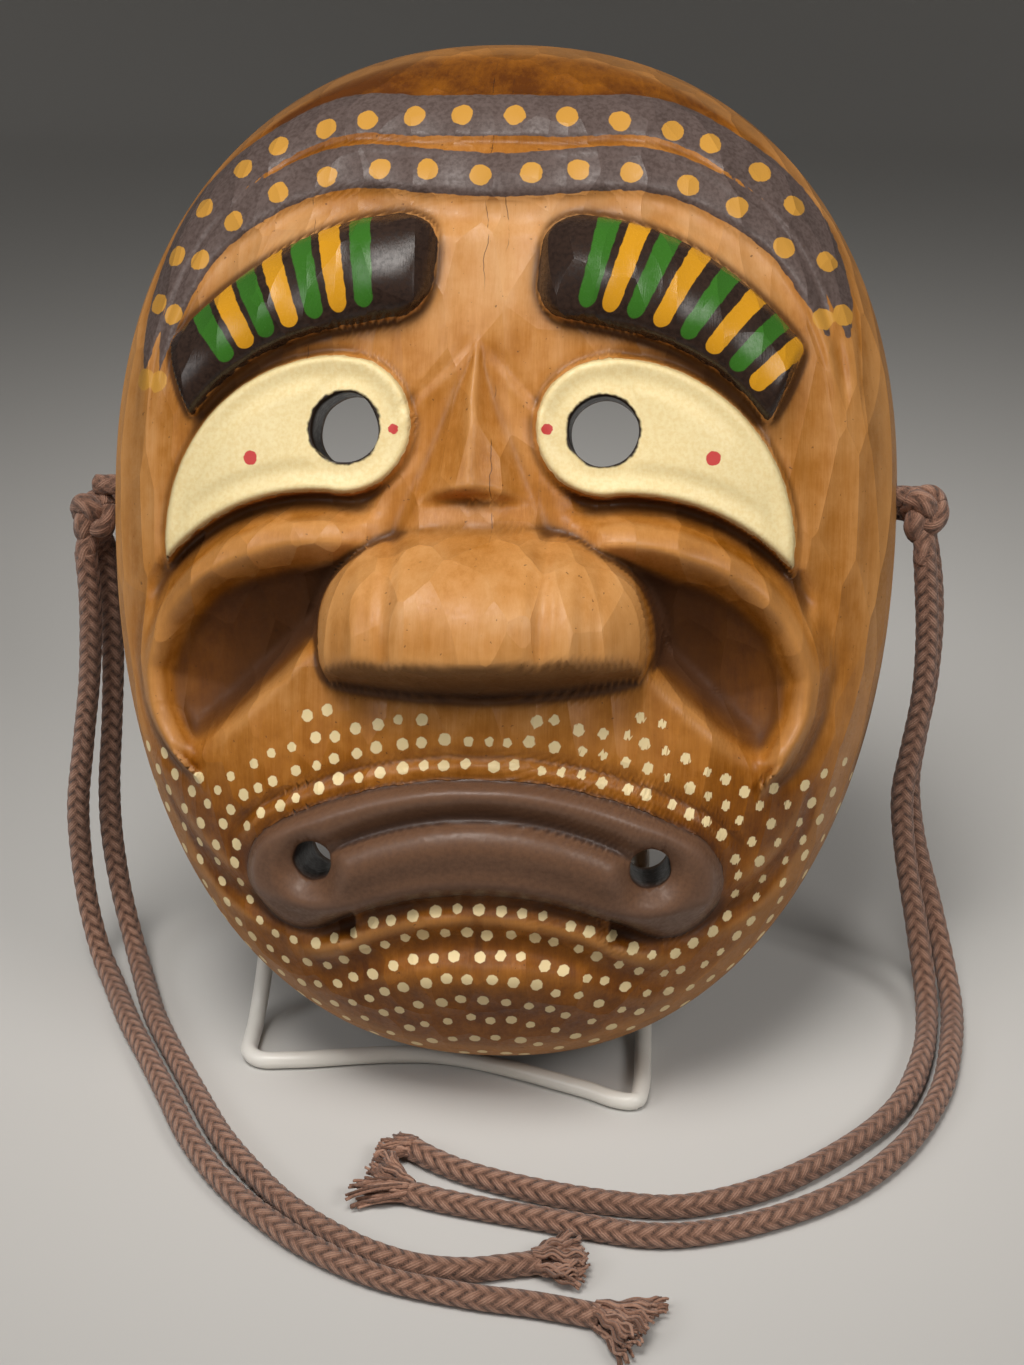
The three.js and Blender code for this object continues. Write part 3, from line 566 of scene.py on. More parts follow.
def mouth(u, v):
    """Lips 6 mm proud with a seam t = 0 along their arc, a dimple at each corner, then folds and the chin."""
    d, across, along = lip_place(u, v)
    t = across - 4.2 + 2.4 * (along / 40) ** 2
    middle = 1 - ease((np.abs(along) - 30) / 9)
    upper = -3.6 * hump(np.where(t > 0, t / 4.8, t / 1.8))
    lower = np.where(t < 0, 1.9 * hump((t + 6) / 6.2), 0)
    lips = 6 + 0.5 * hump((across + 4) / 9) + (upper + lower) * middle
    lips -= 5.5 * hump(np.hypot(np.abs(u) - 38.8, v + 72.6) / 9.5)
    relief = lips * ease((0.6 - d) / 3.4) ** 0.8
    above = ease((v + 84 - 0.2 * np.abs(u)) / 10)
    relief += (1.5 * hump((d - 2.4) / 3) - 1.3 * hump((d - 5.5) / 1.7)) * above
    relief += 2.4 * hump((v + 40) / 22) * hump(u / 46)
    below = ease((-76 - v + 0.1 * np.abs(u)) / 6) * (1 - ease((np.abs(u) - 34) / 16))
    relief += (-1.4 * hump((d - 2) / 3) + 1.3 * hump((d - 5.8) / 3.6) - 2.2 * hump((d - 11.5) / 5.5)) * below
    relief += 3.4 * hump((v + 99 + 0.004 * u**2) / 8.5) * hump(u / 34)
    return relief - 0.8 * hump((u + 0.6) / 1.6) * hump((v + 90) / 10)


def furrows(U, v):
    """A short frown line runs down on each side of the bridge's top."""
    line = v - 47 + 1.05 * U
    reach = ease((U - 1) / 3) * (1 - ease((U - 15) / 5))
    return (-0.5 * hump((line - 1) / 1.9) + 0.4 * hump((line + 3) / 2.4)) * reach


def centred(u, v):
    """The face is carved 3 mm off the middle, but for the crown and the mouth."""
    return u + FACE_OFF * np.where(v > 30, hump((v - 30) / 45), ease((v + 75) / 35))


def face(u, v):
    """The dome plus every form, and the nose on top wherever it is higher."""
    U = np.abs(centred(u, v))
    ground = (dome(u, v) + forehead(u, v) + brow(U, v) + eye(U, v) + cheek(U, v) + furrows(U, v)
              + mouth(u, v))
    return smooth_max(ground, nose_top(u, U, v), 1.6)


# %% [markdown]
# ## The mask: one closed shell
# A square grid is bent onto the egg-shaped outline, so the front has no pole. Rows are spaced by length along
# the section, which gives the steep sides their share. The hollow inside gets a coarser grid, and a fan of
# triangles joins the two round the rim.

# %% The mask: one closed shell
def square_to_outline(count, heights, inset):
    """Concentric map: the larger of |s| and |t| is the share of the way out, their ratio gives the angle."""
    s, t = np.meshgrid(np.linspace(-1, 1, count), np.linspace(-1, 1, count))
    share = np.maximum(np.abs(s), np.abs(t))
    safe = np.maximum(share, 1e-9)
    flat = np.abs(s) >= np.abs(t)
    angle = np.where(flat, np.pi / 4 * t / np.where(s == 0, 1, s) + np.where(s < 0, np.pi, 0),
                     np.pi / 2 - np.pi / 4 * s / np.where(t == 0, 1, t) + np.where(t < 0, np.pi, 0))
    table = np.linspace(0, 1, 3001)
    length = np.concatenate([[0], np.cumsum(np.hypot(np.diff(table) * (HALF_WIDTH - inset),
                                                     np.diff(heights(table))))])
    share = np.interp(safe * length[-1], length, table)
    x, y = outline(angle, inset)
    return x * share, y * share + WIDEST_AT, share


def hollow_height(share):
    """Height of the hollow inside: 46·(1 - s^2.6)^(1/2.2)."""
    return HOLLOW * np.clip(1 - share**2.6, 0, 1) ** (1 / 2.2)


def border(count):
    """Indices round the edge of a square grid, in order."""
    index = np.arange(count * count).reshape(count, count)
    return np.concatenate([index[0, :-1], index[:-1, -1], index[-1, :0:-1], index[:0:-1, 0]])


FRONT, BACK = 281, 71  # points along each side of the two grids: 280 is four times 70
u, v, share = square_to_outline(FRONT, lambda s: dome(s * HALF_WIDTH, WIDEST_AT), 0.0)
plain = dome(u, v)
w = plain + (face(u, v) - plain) * ease((1 - share) / 0.1)
w[share > 0.99999] = 0
front = np.stack([u, v, w], axis=-1).reshape(-1, 3)
x, y, inner = square_to_outline(BACK, hollow_height, RIM_WIDTH)
hollow = np.stack([x, y, hollow_height(inner)], axis=-1).reshape(-1, 3)
outer_edge, inner_edge = border(FRONT), border(BACK) + len(front)
around = np.arange(len(inner_edge))
fan = np.concatenate([
    np.stack([inner_edge, outer_edge[(4 * around + k + 1) % len(outer_edge)],
              outer_edge[(4 * around + k) % len(outer_edge)]], axis=1) for k in (-2, -1, 0, 1)])
closing = np.stack([inner_edge, np.roll(inner_edge, -1), outer_edge[(4 * around + 2) % len(outer_edge)]],
                   axis=1)
front_quads = grid_faces(FRONT, FRONT)
back_quads = grid_faces(BACK, BACK)[:, ::-1] + len(front)
shell = add_mesh("carved_mask", np.concatenate([front, hollow]), [front_quads, back_quads, fan, closing], 1.0)
print("mask before drilling:", len(shell.data.vertices), "points, highest", round(float(w.max()), 1), "mm")

# %% [markdown]
# ## The mask: holes
# The wearer looks through the pupils and breathes through the mouth's corners, and the cords need a hole at
# each side. Boolean cuts are the plain way to drill. The pupils were cut by hand, so their walls are uneven.

# %% The mask: holes
def drill(start, stop, radius, sides, uneven, seed):
    """A closed bar whose radius wavers by a few low harmonics round the hole."""
    route = np.linspace(start, stop, 9)
    angle = np.arange(sides) / sides * 2 * np.pi
    draw = np.random.default_rng(seed)
    waves = sum(draw.normal(0, uneven / k) * np.cos(k * angle + draw.uniform(0, 6)) for k in range(2, 9))
    points, faces = tube(route, radius + waves[None] * np.ones((9, 1)), sides, away=(0.1, 1, 0.2))
    cutter = add_mesh("drill", points, faces, 1.0)
    cutter.data.materials.append(None)
    cutter.data.materials.append(None)
    cutter.data.polygons.foreach_set("material_index", np.ones(len(cutter.data.polygons), dtype=np.int32))
    return cutter


cutters = []
for side in (-1, 1):
    cutters += [
        drill((side * PUPIL_OUT - FACE_OFF, PUPIL_UP, 20), (side * PUPIL_OUT - FACE_OFF, PUPIL_UP, 95),
              7.9, 96, 0.22, 70 + side),
        drill((side * 36, -68, 18), (side * 40, -73.5, 95), 4.8, 64, 0.18, 75 + side),
        drill((side * 76, HOLE_UP, HOLE_OUT), (side * 104, HOLE_UP, HOLE_OUT), 3.4, 40, 0.05, 80 + side)]
shell.data.materials.append(None)
shell.data.materials.append(None)
for cutter in cutters:
    cut = shell.modifiers.new("cut", "BOOLEAN")
    cut.object = cutter
    cut.operation = "DIFFERENCE"
    cut.solver = "MANIFOLD"
    cut.material_mode = "INDEX"
drilled = bpy.data.meshes.new_from_object(shell.evaluated_get(bpy.context.evaluated_depsgraph_get()))
shell.modifiers.clear()
shell.data = drilled
for cutter in cutters:
    bpy.data.objects.remove(cutter)
place = np.empty(len(drilled.vertices) * 3, dtype=np.float32)
drilled.vertices.foreach_get("co", place)
place = place.reshape(-1, 3).astype(float)
print("mask after drilling:", len(place), "points,", len(drilled.polygons), "faces")

# %% [markdown]
# ## The mask: where the paint goes
# The painter's edges are the carver's edges, so each vertex stores its distance to them. A material turns a
# distance into a crisp edge, which stays crisp between vertices. The dots are dabs in rows: orange ones along
# the bands, cream ones in rows that follow the lips.

# %% The mask: rows of dots
def band_dots():
    """Places along each arch, in mm from its top, read as a maker would space them: 10 to 15 mm apart."""
    steps = {
        (83.5, 98.7): [-118, -100, -88, -75, -62, -52, -40, -30, -19, -8, 4, 16, 28, 40, 49, 62, 73, 88, 101],
        (80.0, 86.3): [-105, -89, -75, -63, -50.5, -38.5, -26, -15, -3, 8.5, 19, 31, 44, 56, 70, 88.5]}
    places = []
    for (a, b), steps_here in steps.items():
        t = np.linspace(np.pi / 2, 0.02, 1500)
        r = ((np.abs(np.cos(t)) / a) ** 3.4 + (np.sin(t) / b) ** 3.4) ** (-1 / 3.4)
        x, y = r * np.cos(t), r * np.sin(t)
        length = np.concatenate([[0], np.cumsum(np.hypot(np.diff(x), np.diff(y)))])
        far = np.abs(steps_here)
        u = np.sign(steps_here) * np.interp(far, length, x)
        dip = 2.4 * np.exp(-((u / 15) ** 2)) if a == 80.0 else 0
        places.append(np.stack([u, np.interp(far, length, y) - dip], axis=1))
    return np.concatenate(places)


def beard_dots():
    """Rows 5.4 mm apart at growing distance from the lips, dots 5 mm apart, each moved a little at random."""
    draw = np.random.default_rng(9)
    rows = []
    for k in range(12):
        d = LIP_HALF + 3.6 + 5.4 * k
        angle = np.linspace(-LIP_ANGLE, LIP_ANGLE, 400)
        arc = np.stack([np.sin(angle), np.cos(angle)], axis=1)
        round_end = LIP_ANGLE + np.linspace(0, np.pi, 300)
        end = LIP_ARC * arc[-1] + d * np.stack([np.sin(round_end), np.cos(round_end)], axis=1)
        ring = np.concatenate([(LIP_ARC + d) * arc, end, (LIP_ARC - d) * arc[::-1], (end * [-1, 1])[::-1]])
        length = np.concatenate([[0], np.cumsum(np.linalg.norm(np.diff(ring, axis=0), axis=1))])
        places = np.arange(draw.uniform(0, 4), length[-1], 5.05)
        places = places + draw.normal(0, 0.28, len(places))
        row = np.stack([np.interp(places, length, ring[:, i]) for i in range(2)], axis=1)
        rows.append(row + draw.normal(0, 0.3, row.shape) + [0, LIP_CENTRE])
    dots = np.concatenate(rows)
    u, v = dots.T
    line = np.interp(np.abs(u), [0, 38, 62, 70, 86, 95], [-38.0, -36.0, -56.0, -50.0, -47.0, -46.0])
    return dots[(v < line) & (lip_place(u, v)[0] > 2.2) & (outline_share(u, v) < 0.995)]


def nearest(dots, u, v, reach=12.0):
    """Distance from each vertex to its nearest dot, in slices so that the tables stay small."""
    best = np.full(len(u), reach)
    for dot in dots:
        near = np.abs(u - dot[0]) < reach
        best[near] = np.minimum(best[near], np.hypot(u[near] - dot[0], v[near] - dot[1]))
    return best


orange, cream = band_dots(), beard_dots()
print(len(orange), "orange dots,", len(cream), "cream dots")

# %% [markdown]
# The beard's dots were dabbed on a surface that turns away at the jaw. Measured flat they would smear down
# the steep side, so their distance is measured on the surface: across, up, and out of the rim as well.

# %% The mask: what each vertex knows
u, v, w = place.T
U = np.abs(centred(u, v))
height_here = dome(u, v)
dot_size = 1.0 + 0.12 * np.sin(cream[:, 0] * 1.7 + cream[:, 1] * 2.3)
cream_height = dome(cream[:, 0], cream[:, 1])
cream_distance = np.full(len(u), 12.0)
for dot, tall, scale in zip(cream, cream_height, dot_size):
    near = (np.abs(u - dot[0]) < 4) & (np.abs(v - dot[1]) < 4)
    rise = 0.6 * (height_here[near] - tall)
    gap = np.sqrt((u[near] - dot[0]) ** 2 + (v[near] - dot[1]) ** 2 + rise**2) / scale
    cream_distance[near] = np.minimum(cream_distance[near], gap)
upper, lower, half = bands(u, v)
band_end = 37 + 13 * ease(u / 50)
band = np.minimum(np.abs(upper), np.abs(lower)) - half + 1.6 * ease((band_end + 12 - v) / 12)
band = np.where(v > 33, np.maximum(band, band_end - v), 9.0)
along, across, brow_half, brow_edge = brow_place(U, v)
eye_edge = eye_distance(U, v)[0]
lip_edge = lip_place(u, v)[0]
red = np.minimum(np.hypot(u + 20.9, v - 26.4) + 0.35, np.hypot(u - 13.6, v - 26.6) + 0.35)
red = np.minimum(red, np.minimum(np.hypot(u + 53.6, v - 19.6), np.hypot(u - 50.5, v - 20.8)))
inside = ease(hollow_height(np.clip(outline_share(u, v, RIM_WIDTH), 0, 1)) + 1.5 - w)

# %% [markdown]
# ## The mask: stain, wear and painted light
# The varnish is warm and uneven. Each vertex stores how deep it lies under its surroundings, so that the cuts
# take pooled varnish and painted shade, and the high places, where the stain was wiped off, a painted
# highlight. It also stores a tone that goes from the pale forehead to the jaw, with painted light on the nose
# and the sides and painted shade in the scoops and where the jaw turns down, and masks of painted shade for
# the scoops and for the surfaces that face down under the nose.

# %% The mask: stain, wear and painted light
def depth_under_surroundings(u, v, w, reach):
    """The mean height of eight places on a ring round the vertex, less its own height."""
    angle = np.arange(8) / 8 * 2 * np.pi
    ring = sum(face(u + reach * np.cos(a), v + reach * np.sin(a)) for a in angle) / 8
    return np.clip(ring - w, -6, 6)


deep = np.where(inside > 0.5, 0, depth_under_surroundings(u, v, w, 2.2) * 0.9
                + depth_under_surroundings(u, v, w, 6.0) * 0.28)
# Painted shade: this mask darkens the scoops beside the nose, kept off the nose's bulb.
scoop = ease((-from_crest(U, v)[0] - 3.5) / 2.5) * ease(past_muzzle(U, v) / 6)
scoop *= (0.5 + 0.5 * ease((76 - U) / 30)) * ease((height_here - w - 0.5) / 5)
# Painted shade on the surfaces that face downwards between the nose and the mouth.
slope = (face(u, v + 0.7) - face(u, v - 0.7)) / 1.4
under = ease((slope - 0.5) / 1.9) * (1 - inside) * hump((v + 38) / 26)
tone = 0.42 - 0.34 * ease((v - 42) / 22) * ease((90 - v) / 16) * ease((80 - U) / 20)
tone -= 0.12 * hump((v - 36) / 26) * ease((78 - U) / 20)
# The crown is darker; the nose's lighter tone in the second term is painted light.
tone += 0.40 * ease((v - 91) / 12) - 0.28 * ease((40 - U) / 8) * hump((v + 12) / 26)
# Painted light: the sides of the face are lighter.
tone -= 0.16 * ease((U - 68) / 10) * hump((v - 20) / 60)
# Darker towards the jaw, partly a deeper stain and partly painted shade where the jaw turns down; painted
# shade in the scoops.
tone += 0.06 + 0.34 * ease((-36 - v) / 30) + 0.22 * scoop
tone += 0.20 * ease((-16 - u) / 20) * ease((v - 68) / 14)
tone += 0.18 * hump((U - 60) / 24) * hump((v + 16) / 36)
fields = {"band": band, "orange_dot": nearest(orange, u, v), "cream_dot": cream_distance, "red_dot": red,
          "brow": brow_edge, "brow_along": along * np.sign(centred(u, v)), "brow_across": across / brow_half,
          "under": under, "eye": eye_edge, "lip": lip_edge, "deep": deep, "tone": tone, "scoop": scoop,
          "inside": inside, "pupil": np.hypot(U - PUPIL_OUT, v - PUPIL_UP)}
for name, values in fields.items():
    add_attribute(drilled, name, values)
add_attribute(drilled, "carving", place, "FLOAT_VECTOR")
drilled.vertices.foreach_set("co", (on_mask(u, v, w) * MM).astype(np.float32).ravel())
drilled.update()
drilled.shade_smooth()
print("mask box:", np.round(on_mask(u, v, w).min(axis=0), 1), np.round(on_mask(u, v, w).max(axis=0), 1))

# %% [markdown]
# ## Building materials from short lines
# A node tree is a sum written as boxes. These helpers write it as calls: each returns the socket that carries
# its result, so a recipe reads from top to bottom.

# %% Helpers for materials
class Recipe:
    """A material in the making: each method adds one node and returns its output."""

    def __init__(self, name):
        self.material = bpy.data.materials.new(name)
        self.material.use_nodes = True
        self.nodes = self.material.node_tree.nodes
        self.links = self.material.node_tree.links
        self.shader = self.nodes["Principled BSDF"]

    def plug(self, socket, value):
        if isinstance(value, bpy.types.NodeSocket):
            self.links.new(value, socket)
        elif value is not None:
            socket.default_value = value

    def stored(self, name, vector=False):
        node = self.nodes.new("ShaderNodeAttribute")
        node.attribute_name = name
        return node.outputs["Vector" if vector else "Fac"]

    def maths(self, operation, a, b=None):
        node = self.nodes.new("ShaderNodeMath")
        node.operation = operation
        for socket, value in zip(node.inputs, (a, b)):
            self.plug(socket, value)
        return node.outputs[0]

    def stretch(self, vector, scale):
        node = self.nodes.new("ShaderNodeMapping")
        self.plug(node.inputs["Vector"], vector)
        node.inputs["Scale"].default_value = scale
        return node.outputs[0]

    def noise(self, vector, scale, detail=3.0, rough=0.55):
        node = self.nodes.new("ShaderNodeTexNoise")
        self.plug(node.inputs["Vector"], vector)
        node.inputs["Scale"].default_value = scale
        node.inputs["Detail"].default_value = detail
        node.inputs["Roughness"].default_value = rough
        return node.outputs["Fac"]

    def cells(self, vector, scale):
        """Distance to the nearest of many scattered points, which divides a surface into flats."""
        node = self.nodes.new("ShaderNodeTexVoronoi")
        self.plug(node.inputs["Vector"], vector)
        node.inputs["Scale"].default_value = scale
        return node.outputs["Distance"]

    def step(self, value, start, stop, low=0.0, high=1.0):
        """Map Range with a smooth step: low at start, high at stop."""
        node = self.nodes.new("ShaderNodeMapRange")
        node.interpolation_type = "SMOOTHSTEP"
        for key, number in (("From Min", start), ("From Max", stop), ("To Min", low), ("To Max", high)):
            node.inputs[key].default_value = number
        self.plug(node.inputs["Value"], value)
        return node.outputs["Result"]

    def ramp(self, value, stops):
        node = self.nodes.new("ShaderNodeValToRGB")
        self.plug(node.inputs["Fac"], value)
        points = node.color_ramp.elements
        for i, (place, colour) in enumerate(stops):
            point = points[i] if i < 2 else points.new(place)
            point.position = place
            point.color = (*colour, 1)
        return node.outputs["Color"]

    def mix(self, share, a, b):
        node = self.nodes.new("ShaderNodeMix")
        node.data_type = "RGBA"
        self.plug(node.inputs["Factor"], share)
        for socket, value in ((node.inputs[6], a), (node.inputs[7], b)):
            self.plug(socket, (*value, 1) if isinstance(value, tuple) else value)
        return node.outputs[2]

    def over(self, below, mask, share, paint):
        """A layer laid over a colour, as strong as its mask times its share."""
        return self.mix(self.maths("MULTIPLY", mask, share), below, paint)

    def bump(self, height, strength, distance, normal=None):
        node = self.nodes.new("ShaderNodeBump")
        self.plug(node.inputs["Height"], height)
        node.inputs["Strength"].default_value = strength
        node.inputs["Distance"].default_value = distance
        self.plug(node.inputs["Normal"], normal)
        return node.outputs[0]

    def finish(self, **sockets):
        """Plugs the shader's sockets, some of them by a shorter name, and hands over the material."""
        full = {"Base": "Base Color", "Sheen": "Sheen Weight", "SheenRoughness": "Sheen Roughness",
                "Specular": "Specular IOR Level"}
        for name, value in sockets.items():
            socket = self.shader.inputs[full.get(name, name)]
            self.plug(socket, (*value, 1) if isinstance(value, tuple) else value)
        return self.material


# %% [markdown]
# ## Varnished wood and paint
# The wood is fine-grained and light, so its grain is long thin streaks that run up the mask, and each stroke
# of the knife left a flat of its own tone. The stored tone and these are added up and read off a ramp from
# honey to dark brown. Then comes the varnish, which pooled in the cuts and was wiped off the crests, with
# painted shade in the cuts, the scoops and under the nose, and a painted highlight on the crests.

# %% Bare wood: grain, strokes, stain and painted shade
wood = Recipe("varnished_wood")
carving = wood.stored("carving", vector=True)
streaks = wood.noise(wood.stretch(carving, (0.75, 0.035, 0.5)), 1.0, 6.0, 0.62)
fine = wood.noise(wood.stretch(carving, (3.2, 0.16, 2.2)), 1.0, 3.0, 0.6)
cloud = wood.noise(carving, 0.045, 3.0, 0.6)
patches = wood.noise(carving, 0.13, 4.0, 0.65)
knife = wood.cells(wood.stretch(carving, (0.115, 0.04, 0.10)), 1.0)
deep = wood.stored("deep")
tone = wood.stored("tone")
for texture, start, stop, low, high in (
        (streaks, 0.3, 0.7, -0.05, 0.05), (cloud, 0.3, 0.7, -0.08, 0.08), (patches, 0.35, 0.65, -0.06, 0.06),
        (knife, 0.35, 0.8, 0.04, -0.05), (fine, 0.35, 0.65, -0.025, 0.025)):
    tone = wood.maths("ADD", tone, wood.step(texture, start, stop, low, high))
bare = wood.ramp(tone, [(0.0, (0.64, 0.335, 0.13)), (0.25, (0.55, 0.25, 0.07)), (0.48, (0.42, 0.162, 0.026)),
                        (0.72, (0.27, 0.088, 0.005)), (1.0, (0.115, 0.031, 0.002))])
# Painted shade and highlight: the cuts darken with pooled varnish and painted shade, and the crests lighten
# where the stain was wiped off and with a painted highlight.
pooled_varnish_and_shade, wiped_stain_and_highlight = wood.step(deep, 0.15, 2.4), wood.step(deep, -0.25, -1.8)
bare = wood.over(bare, pooled_varnish_and_shade, 0.85, (0.05, 0.017, 0.006))
bare = wood.over(bare, wiped_stain_and_highlight, 0.35, (0.66, 0.34, 0.12))
# Painted shade in the scoops beside the nose and on the surfaces that face down under the nose.
bare = wood.over(bare, wood.stored("scoop"), 0.85, (0.062, 0.021, 0.005))
bare = wood.over(bare, wood.stored("under"), 0.88, (0.028, 0.011, 0.005))
print("bare wood mixed from", len(wood.nodes), "nodes")

# %% [markdown]
# The block has dried out since it was carved, and hair cracks run down it with the grain. A crack is a line
# at one place across the mask. It wavers as it goes down, and breaks off here and there.

# %% Bare wood: hair cracks
where = wood.nodes.new("ShaderNodeSeparateXYZ")
wood.plug(where.inputs[0], carving)
waver = wood.maths("MULTIPLY", wood.noise(wood.stretch(carving, (0.0, 0.06, 0.0)), 1.0, 4.0), 5.0)
cracks = None
for crack_at, low, high in ((-1.2, 60, 112), (3.4, 66, 108), (-41.0, 30, 100), (24.5, 20, 60), (1.5, 3, 40)):
    across = wood.maths("ADD", where.outputs[0], waver)
    gap = wood.maths("ABSOLUTE", wood.maths("SUBTRACT", across, crack_at + 2.5))
    line = wood.maths("MULTIPLY", wood.step(gap, 0.16, 0.02),
                      wood.maths("MULTIPLY", wood.step(where.outputs[1], low - 4, low + 4),
                                 wood.step(where.outputs[1], high + 4, high - 4)))
    cracks = line if cracks is None else wood.maths("MAXIMUM", cracks, line)
broken = wood.step(wood.noise(wood.stretch(carving, (0.4, 0.12, 0.4)), 1.0, 2.0), 0.42, 0.56)
cracks = wood.maths("MULTIPLY", cracks, broken)
bare = wood.over(bare, cracks, 0.8, (0.03, 0.012, 0.006))
pits = wood.step(wood.noise(carving, 0.9, 2.0, 0.4), 0.72, 0.77, 0.0, 0.6)
bare = wood.mix(pits, bare, (0.06, 0.022, 0.008))
print("cracks and pits: now", len(wood.nodes), "nodes")

# %% [markdown]
# Over the wood lie the paints: grey-brown bands with orange dots, nearly black brows with green and yellow
# stripes, cream eyes, brown lips and the cream beard dots. The painter's edges waver a little, so noise is
# added to each distance before it is cut into an edge.

# %% The paints
ragged = wood.step(wood.noise(carving, 0.32, 2.0), 0.25, 0.75, -0.2, 0.2)


def painted(distance, edge=0.0, soft=0.1):
    """1 inside the painter's edge, 0 outside it, with the edge's own waver."""
    return wood.step(wood.maths("ADD", distance, ragged), edge + soft, edge - soft)


worn = wood.noise(carving, 0.9, 4.0, 0.6)
band_paint = wood.mix(wood.step(worn, 0.35, 0.7), (0.135, 0.098, 0.088), (0.085, 0.058, 0.05))
colour = wood.mix(painted(wood.stored("band"), -0.1), bare, band_paint)
colour = wood.mix(painted(wood.stored("orange_dot"), 2.5), colour, (0.60, 0.30, 0.05))
brow_here = painted(wood.stored("brow"), -0.2)
brow_paint = wood.mix(wood.step(worn, 0.35, 0.7), (0.038, 0.022, 0.016), (0.02, 0.011, 0.008))
colour = wood.mix(brow_here, colour, brow_paint)
stripe_along = wood.maths("ADD", wood.stored("brow_along"), wood.maths("MULTIPLY", ragged, 0.7))
brow_across = wood.stored("brow_across")
stripe_top = wood.step(brow_across, 1.02, 0.94)
past_end = wood.maths("MULTIPLY", wood.maths("SUBTRACT", -0.56, brow_across), 11.0)
past_end = wood.maths("MAXIMUM", past_end, 0.0)
past_end = wood.maths("MULTIPLY", past_end, past_end)
green, yellow = (0.038, 0.15, 0.016), (0.62, 0.29, 0.015)
left_stripes = (-51.0, -45.2, -39.6, -33.4, -27.0, -21.0, -14.6)
right_stripes = (11.8, 17.8, 24.2, 31.0, 38.4, 45.6, 52.8, 59.4)
stripes = list(zip(left_stripes, (green, yellow) * 4)) + list(zip(right_stripes, (green, yellow) * 4))
for middle, paint in stripes:
    gap = wood.maths("SUBTRACT", stripe_along, middle)
    gap = wood.maths("SQRT", wood.maths("ADD", wood.maths("MULTIPLY", gap, gap), past_end))
    stripe = wood.maths("MULTIPLY", wood.step(gap, 2.3, 2.1), stripe_top)
    colour = wood.over(colour, stripe, brow_here, paint)
eye_here = painted(wood.stored("eye"), -0.1)
cream_paint = wood.mix(wood.step(worn, 0.3, 0.7), (0.86, 0.72, 0.40), (0.80, 0.63, 0.31))
colour = wood.mix(eye_here, colour, cream_paint)
# The cream darkens within a millimetre inside the eye's edge.
darker_eye_rim = wood.step(wood.stored("eye"), -0.9, -0.1, 0.0, 0.5)
colour = wood.over(colour, eye_here, darker_eye_rim, (0.32, 0.19, 0.06))
colour = wood.mix(painted(wood.stored("red_dot"), 1.65), colour, (0.56, 0.05, 0.045))
rim_of_pupil = wood.maths("ADD", wood.stored("pupil"), wood.maths("MULTIPLY", ragged, 1.4))
colour = wood.mix(wood.step(rim_of_pupil, 8.7, 8.1), colour, (0.02, 0.012, 0.008))
lip_here = painted(wood.stored("lip"), 0.2)
lip_paint = wood.mix(wood.step(worn, 0.3, 0.75), (0.15, 0.076, 0.042), (0.115, 0.057, 0.032))
# Painted shade in the lips' seam and hollows, and a painted highlight on their crests.
lip_paint = wood.mix(wood.step(deep, 0.3, 2.2, 0.0, 0.75), lip_paint, (0.03, 0.016, 0.012))
lip_paint = wood.mix(wood.step(deep, -0.4, -2.2, 0.0, 0.4), lip_paint, (0.20, 0.115, 0.078))
colour = wood.mix(lip_here, colour, lip_paint)
from_dot = wood.maths("ADD", wood.stored("cream_dot"), wood.maths("MULTIPLY", ragged, 0.4))
colour = wood.mix(wood.step(from_dot, 1.42, 1.22), colour, (0.80, 0.64, 0.35))
back_wood = wood.mix(streaks, (0.30, 0.17, 0.075), (0.16, 0.08, 0.035))
colour = wood.mix(wood.stored("inside"), colour, back_wood)
print("painted:", len(stripes), "stripes,", len(wood.nodes), "nodes")

# %% [markdown]
# The varnish is satin. Thick paint fills the knife's flats on the eyes and lips, so their bump is less there.
# The brows and lips are glossier than the wood, and the shaded hollows, the back and the jaw are duller.

# %% Relief and gloss
thick_paint = wood.maths("MULTIPLY", wood.maths("MAXIMUM", eye_here, lip_here), 0.85)
facets = wood.maths("MULTIPLY", knife, knife)
facets = wood.maths("MULTIPLY", facets, wood.maths("SUBTRACT", 1.0, thick_paint))
normal = wood.bump(facets, 0.7, 0.003)
normal = wood.bump(wood.maths("SUBTRACT", fine, wood.maths("MULTIPLY", cracks, 2.0)), 0.06, 0.0012, normal)
rough = wood.step(worn, 0.3, 0.7, 0.33, 0.47)
shaded = wood.maths("MAXIMUM", wood.stored("scoop"), wood.stored("under"))
jaw = wood.step(where.outputs[1], -45.0, -95.0)
for mask, change in ((brow_here, -0.16), (lip_here, -0.08), (wood.stored("inside"), 0.25), (shaded, 0.35),
                     (jaw, 0.15)):
    rough = wood.maths("ADD", rough, wood.maths("MULTIPLY", mask, change))
varnished = wood.finish(Base=colour, Roughness=rough, Normal=normal, Specular=0.28)

# %% [markdown]
# The walls of the holes are bare, so they get a dull recipe of their own: two very dark browns, mixed
# by one noise. The boolean cut has already given their faces this second material.

# %% Wood inside the holes
bored = Recipe("bored_wood")
hole_wall_noise = bored.noise(bored.stored("carving", vector=True), 0.8, 4.0)
hole_wall_colour = bored.ramp(hole_wall_noise, [(0.35, (0.012, 0.008, 0.006)), (0.7, (0.07, 0.035, 0.016))])
bored_wood = bored.finish(Base=hole_wall_colour, Roughness=0.8, Normal=bored.bump(hole_wall_noise, 0.5, 0.001))

# %% [markdown]
# ## Braided cotton and coated wire
# The cotton is a faded brown: the crests of the braid are rubbed pale, and the gaps between stitches get
# painted shade, nearly black. Thin lines of painted shade part the yarns of a strand, and a fine noise gives
# the fuzz.

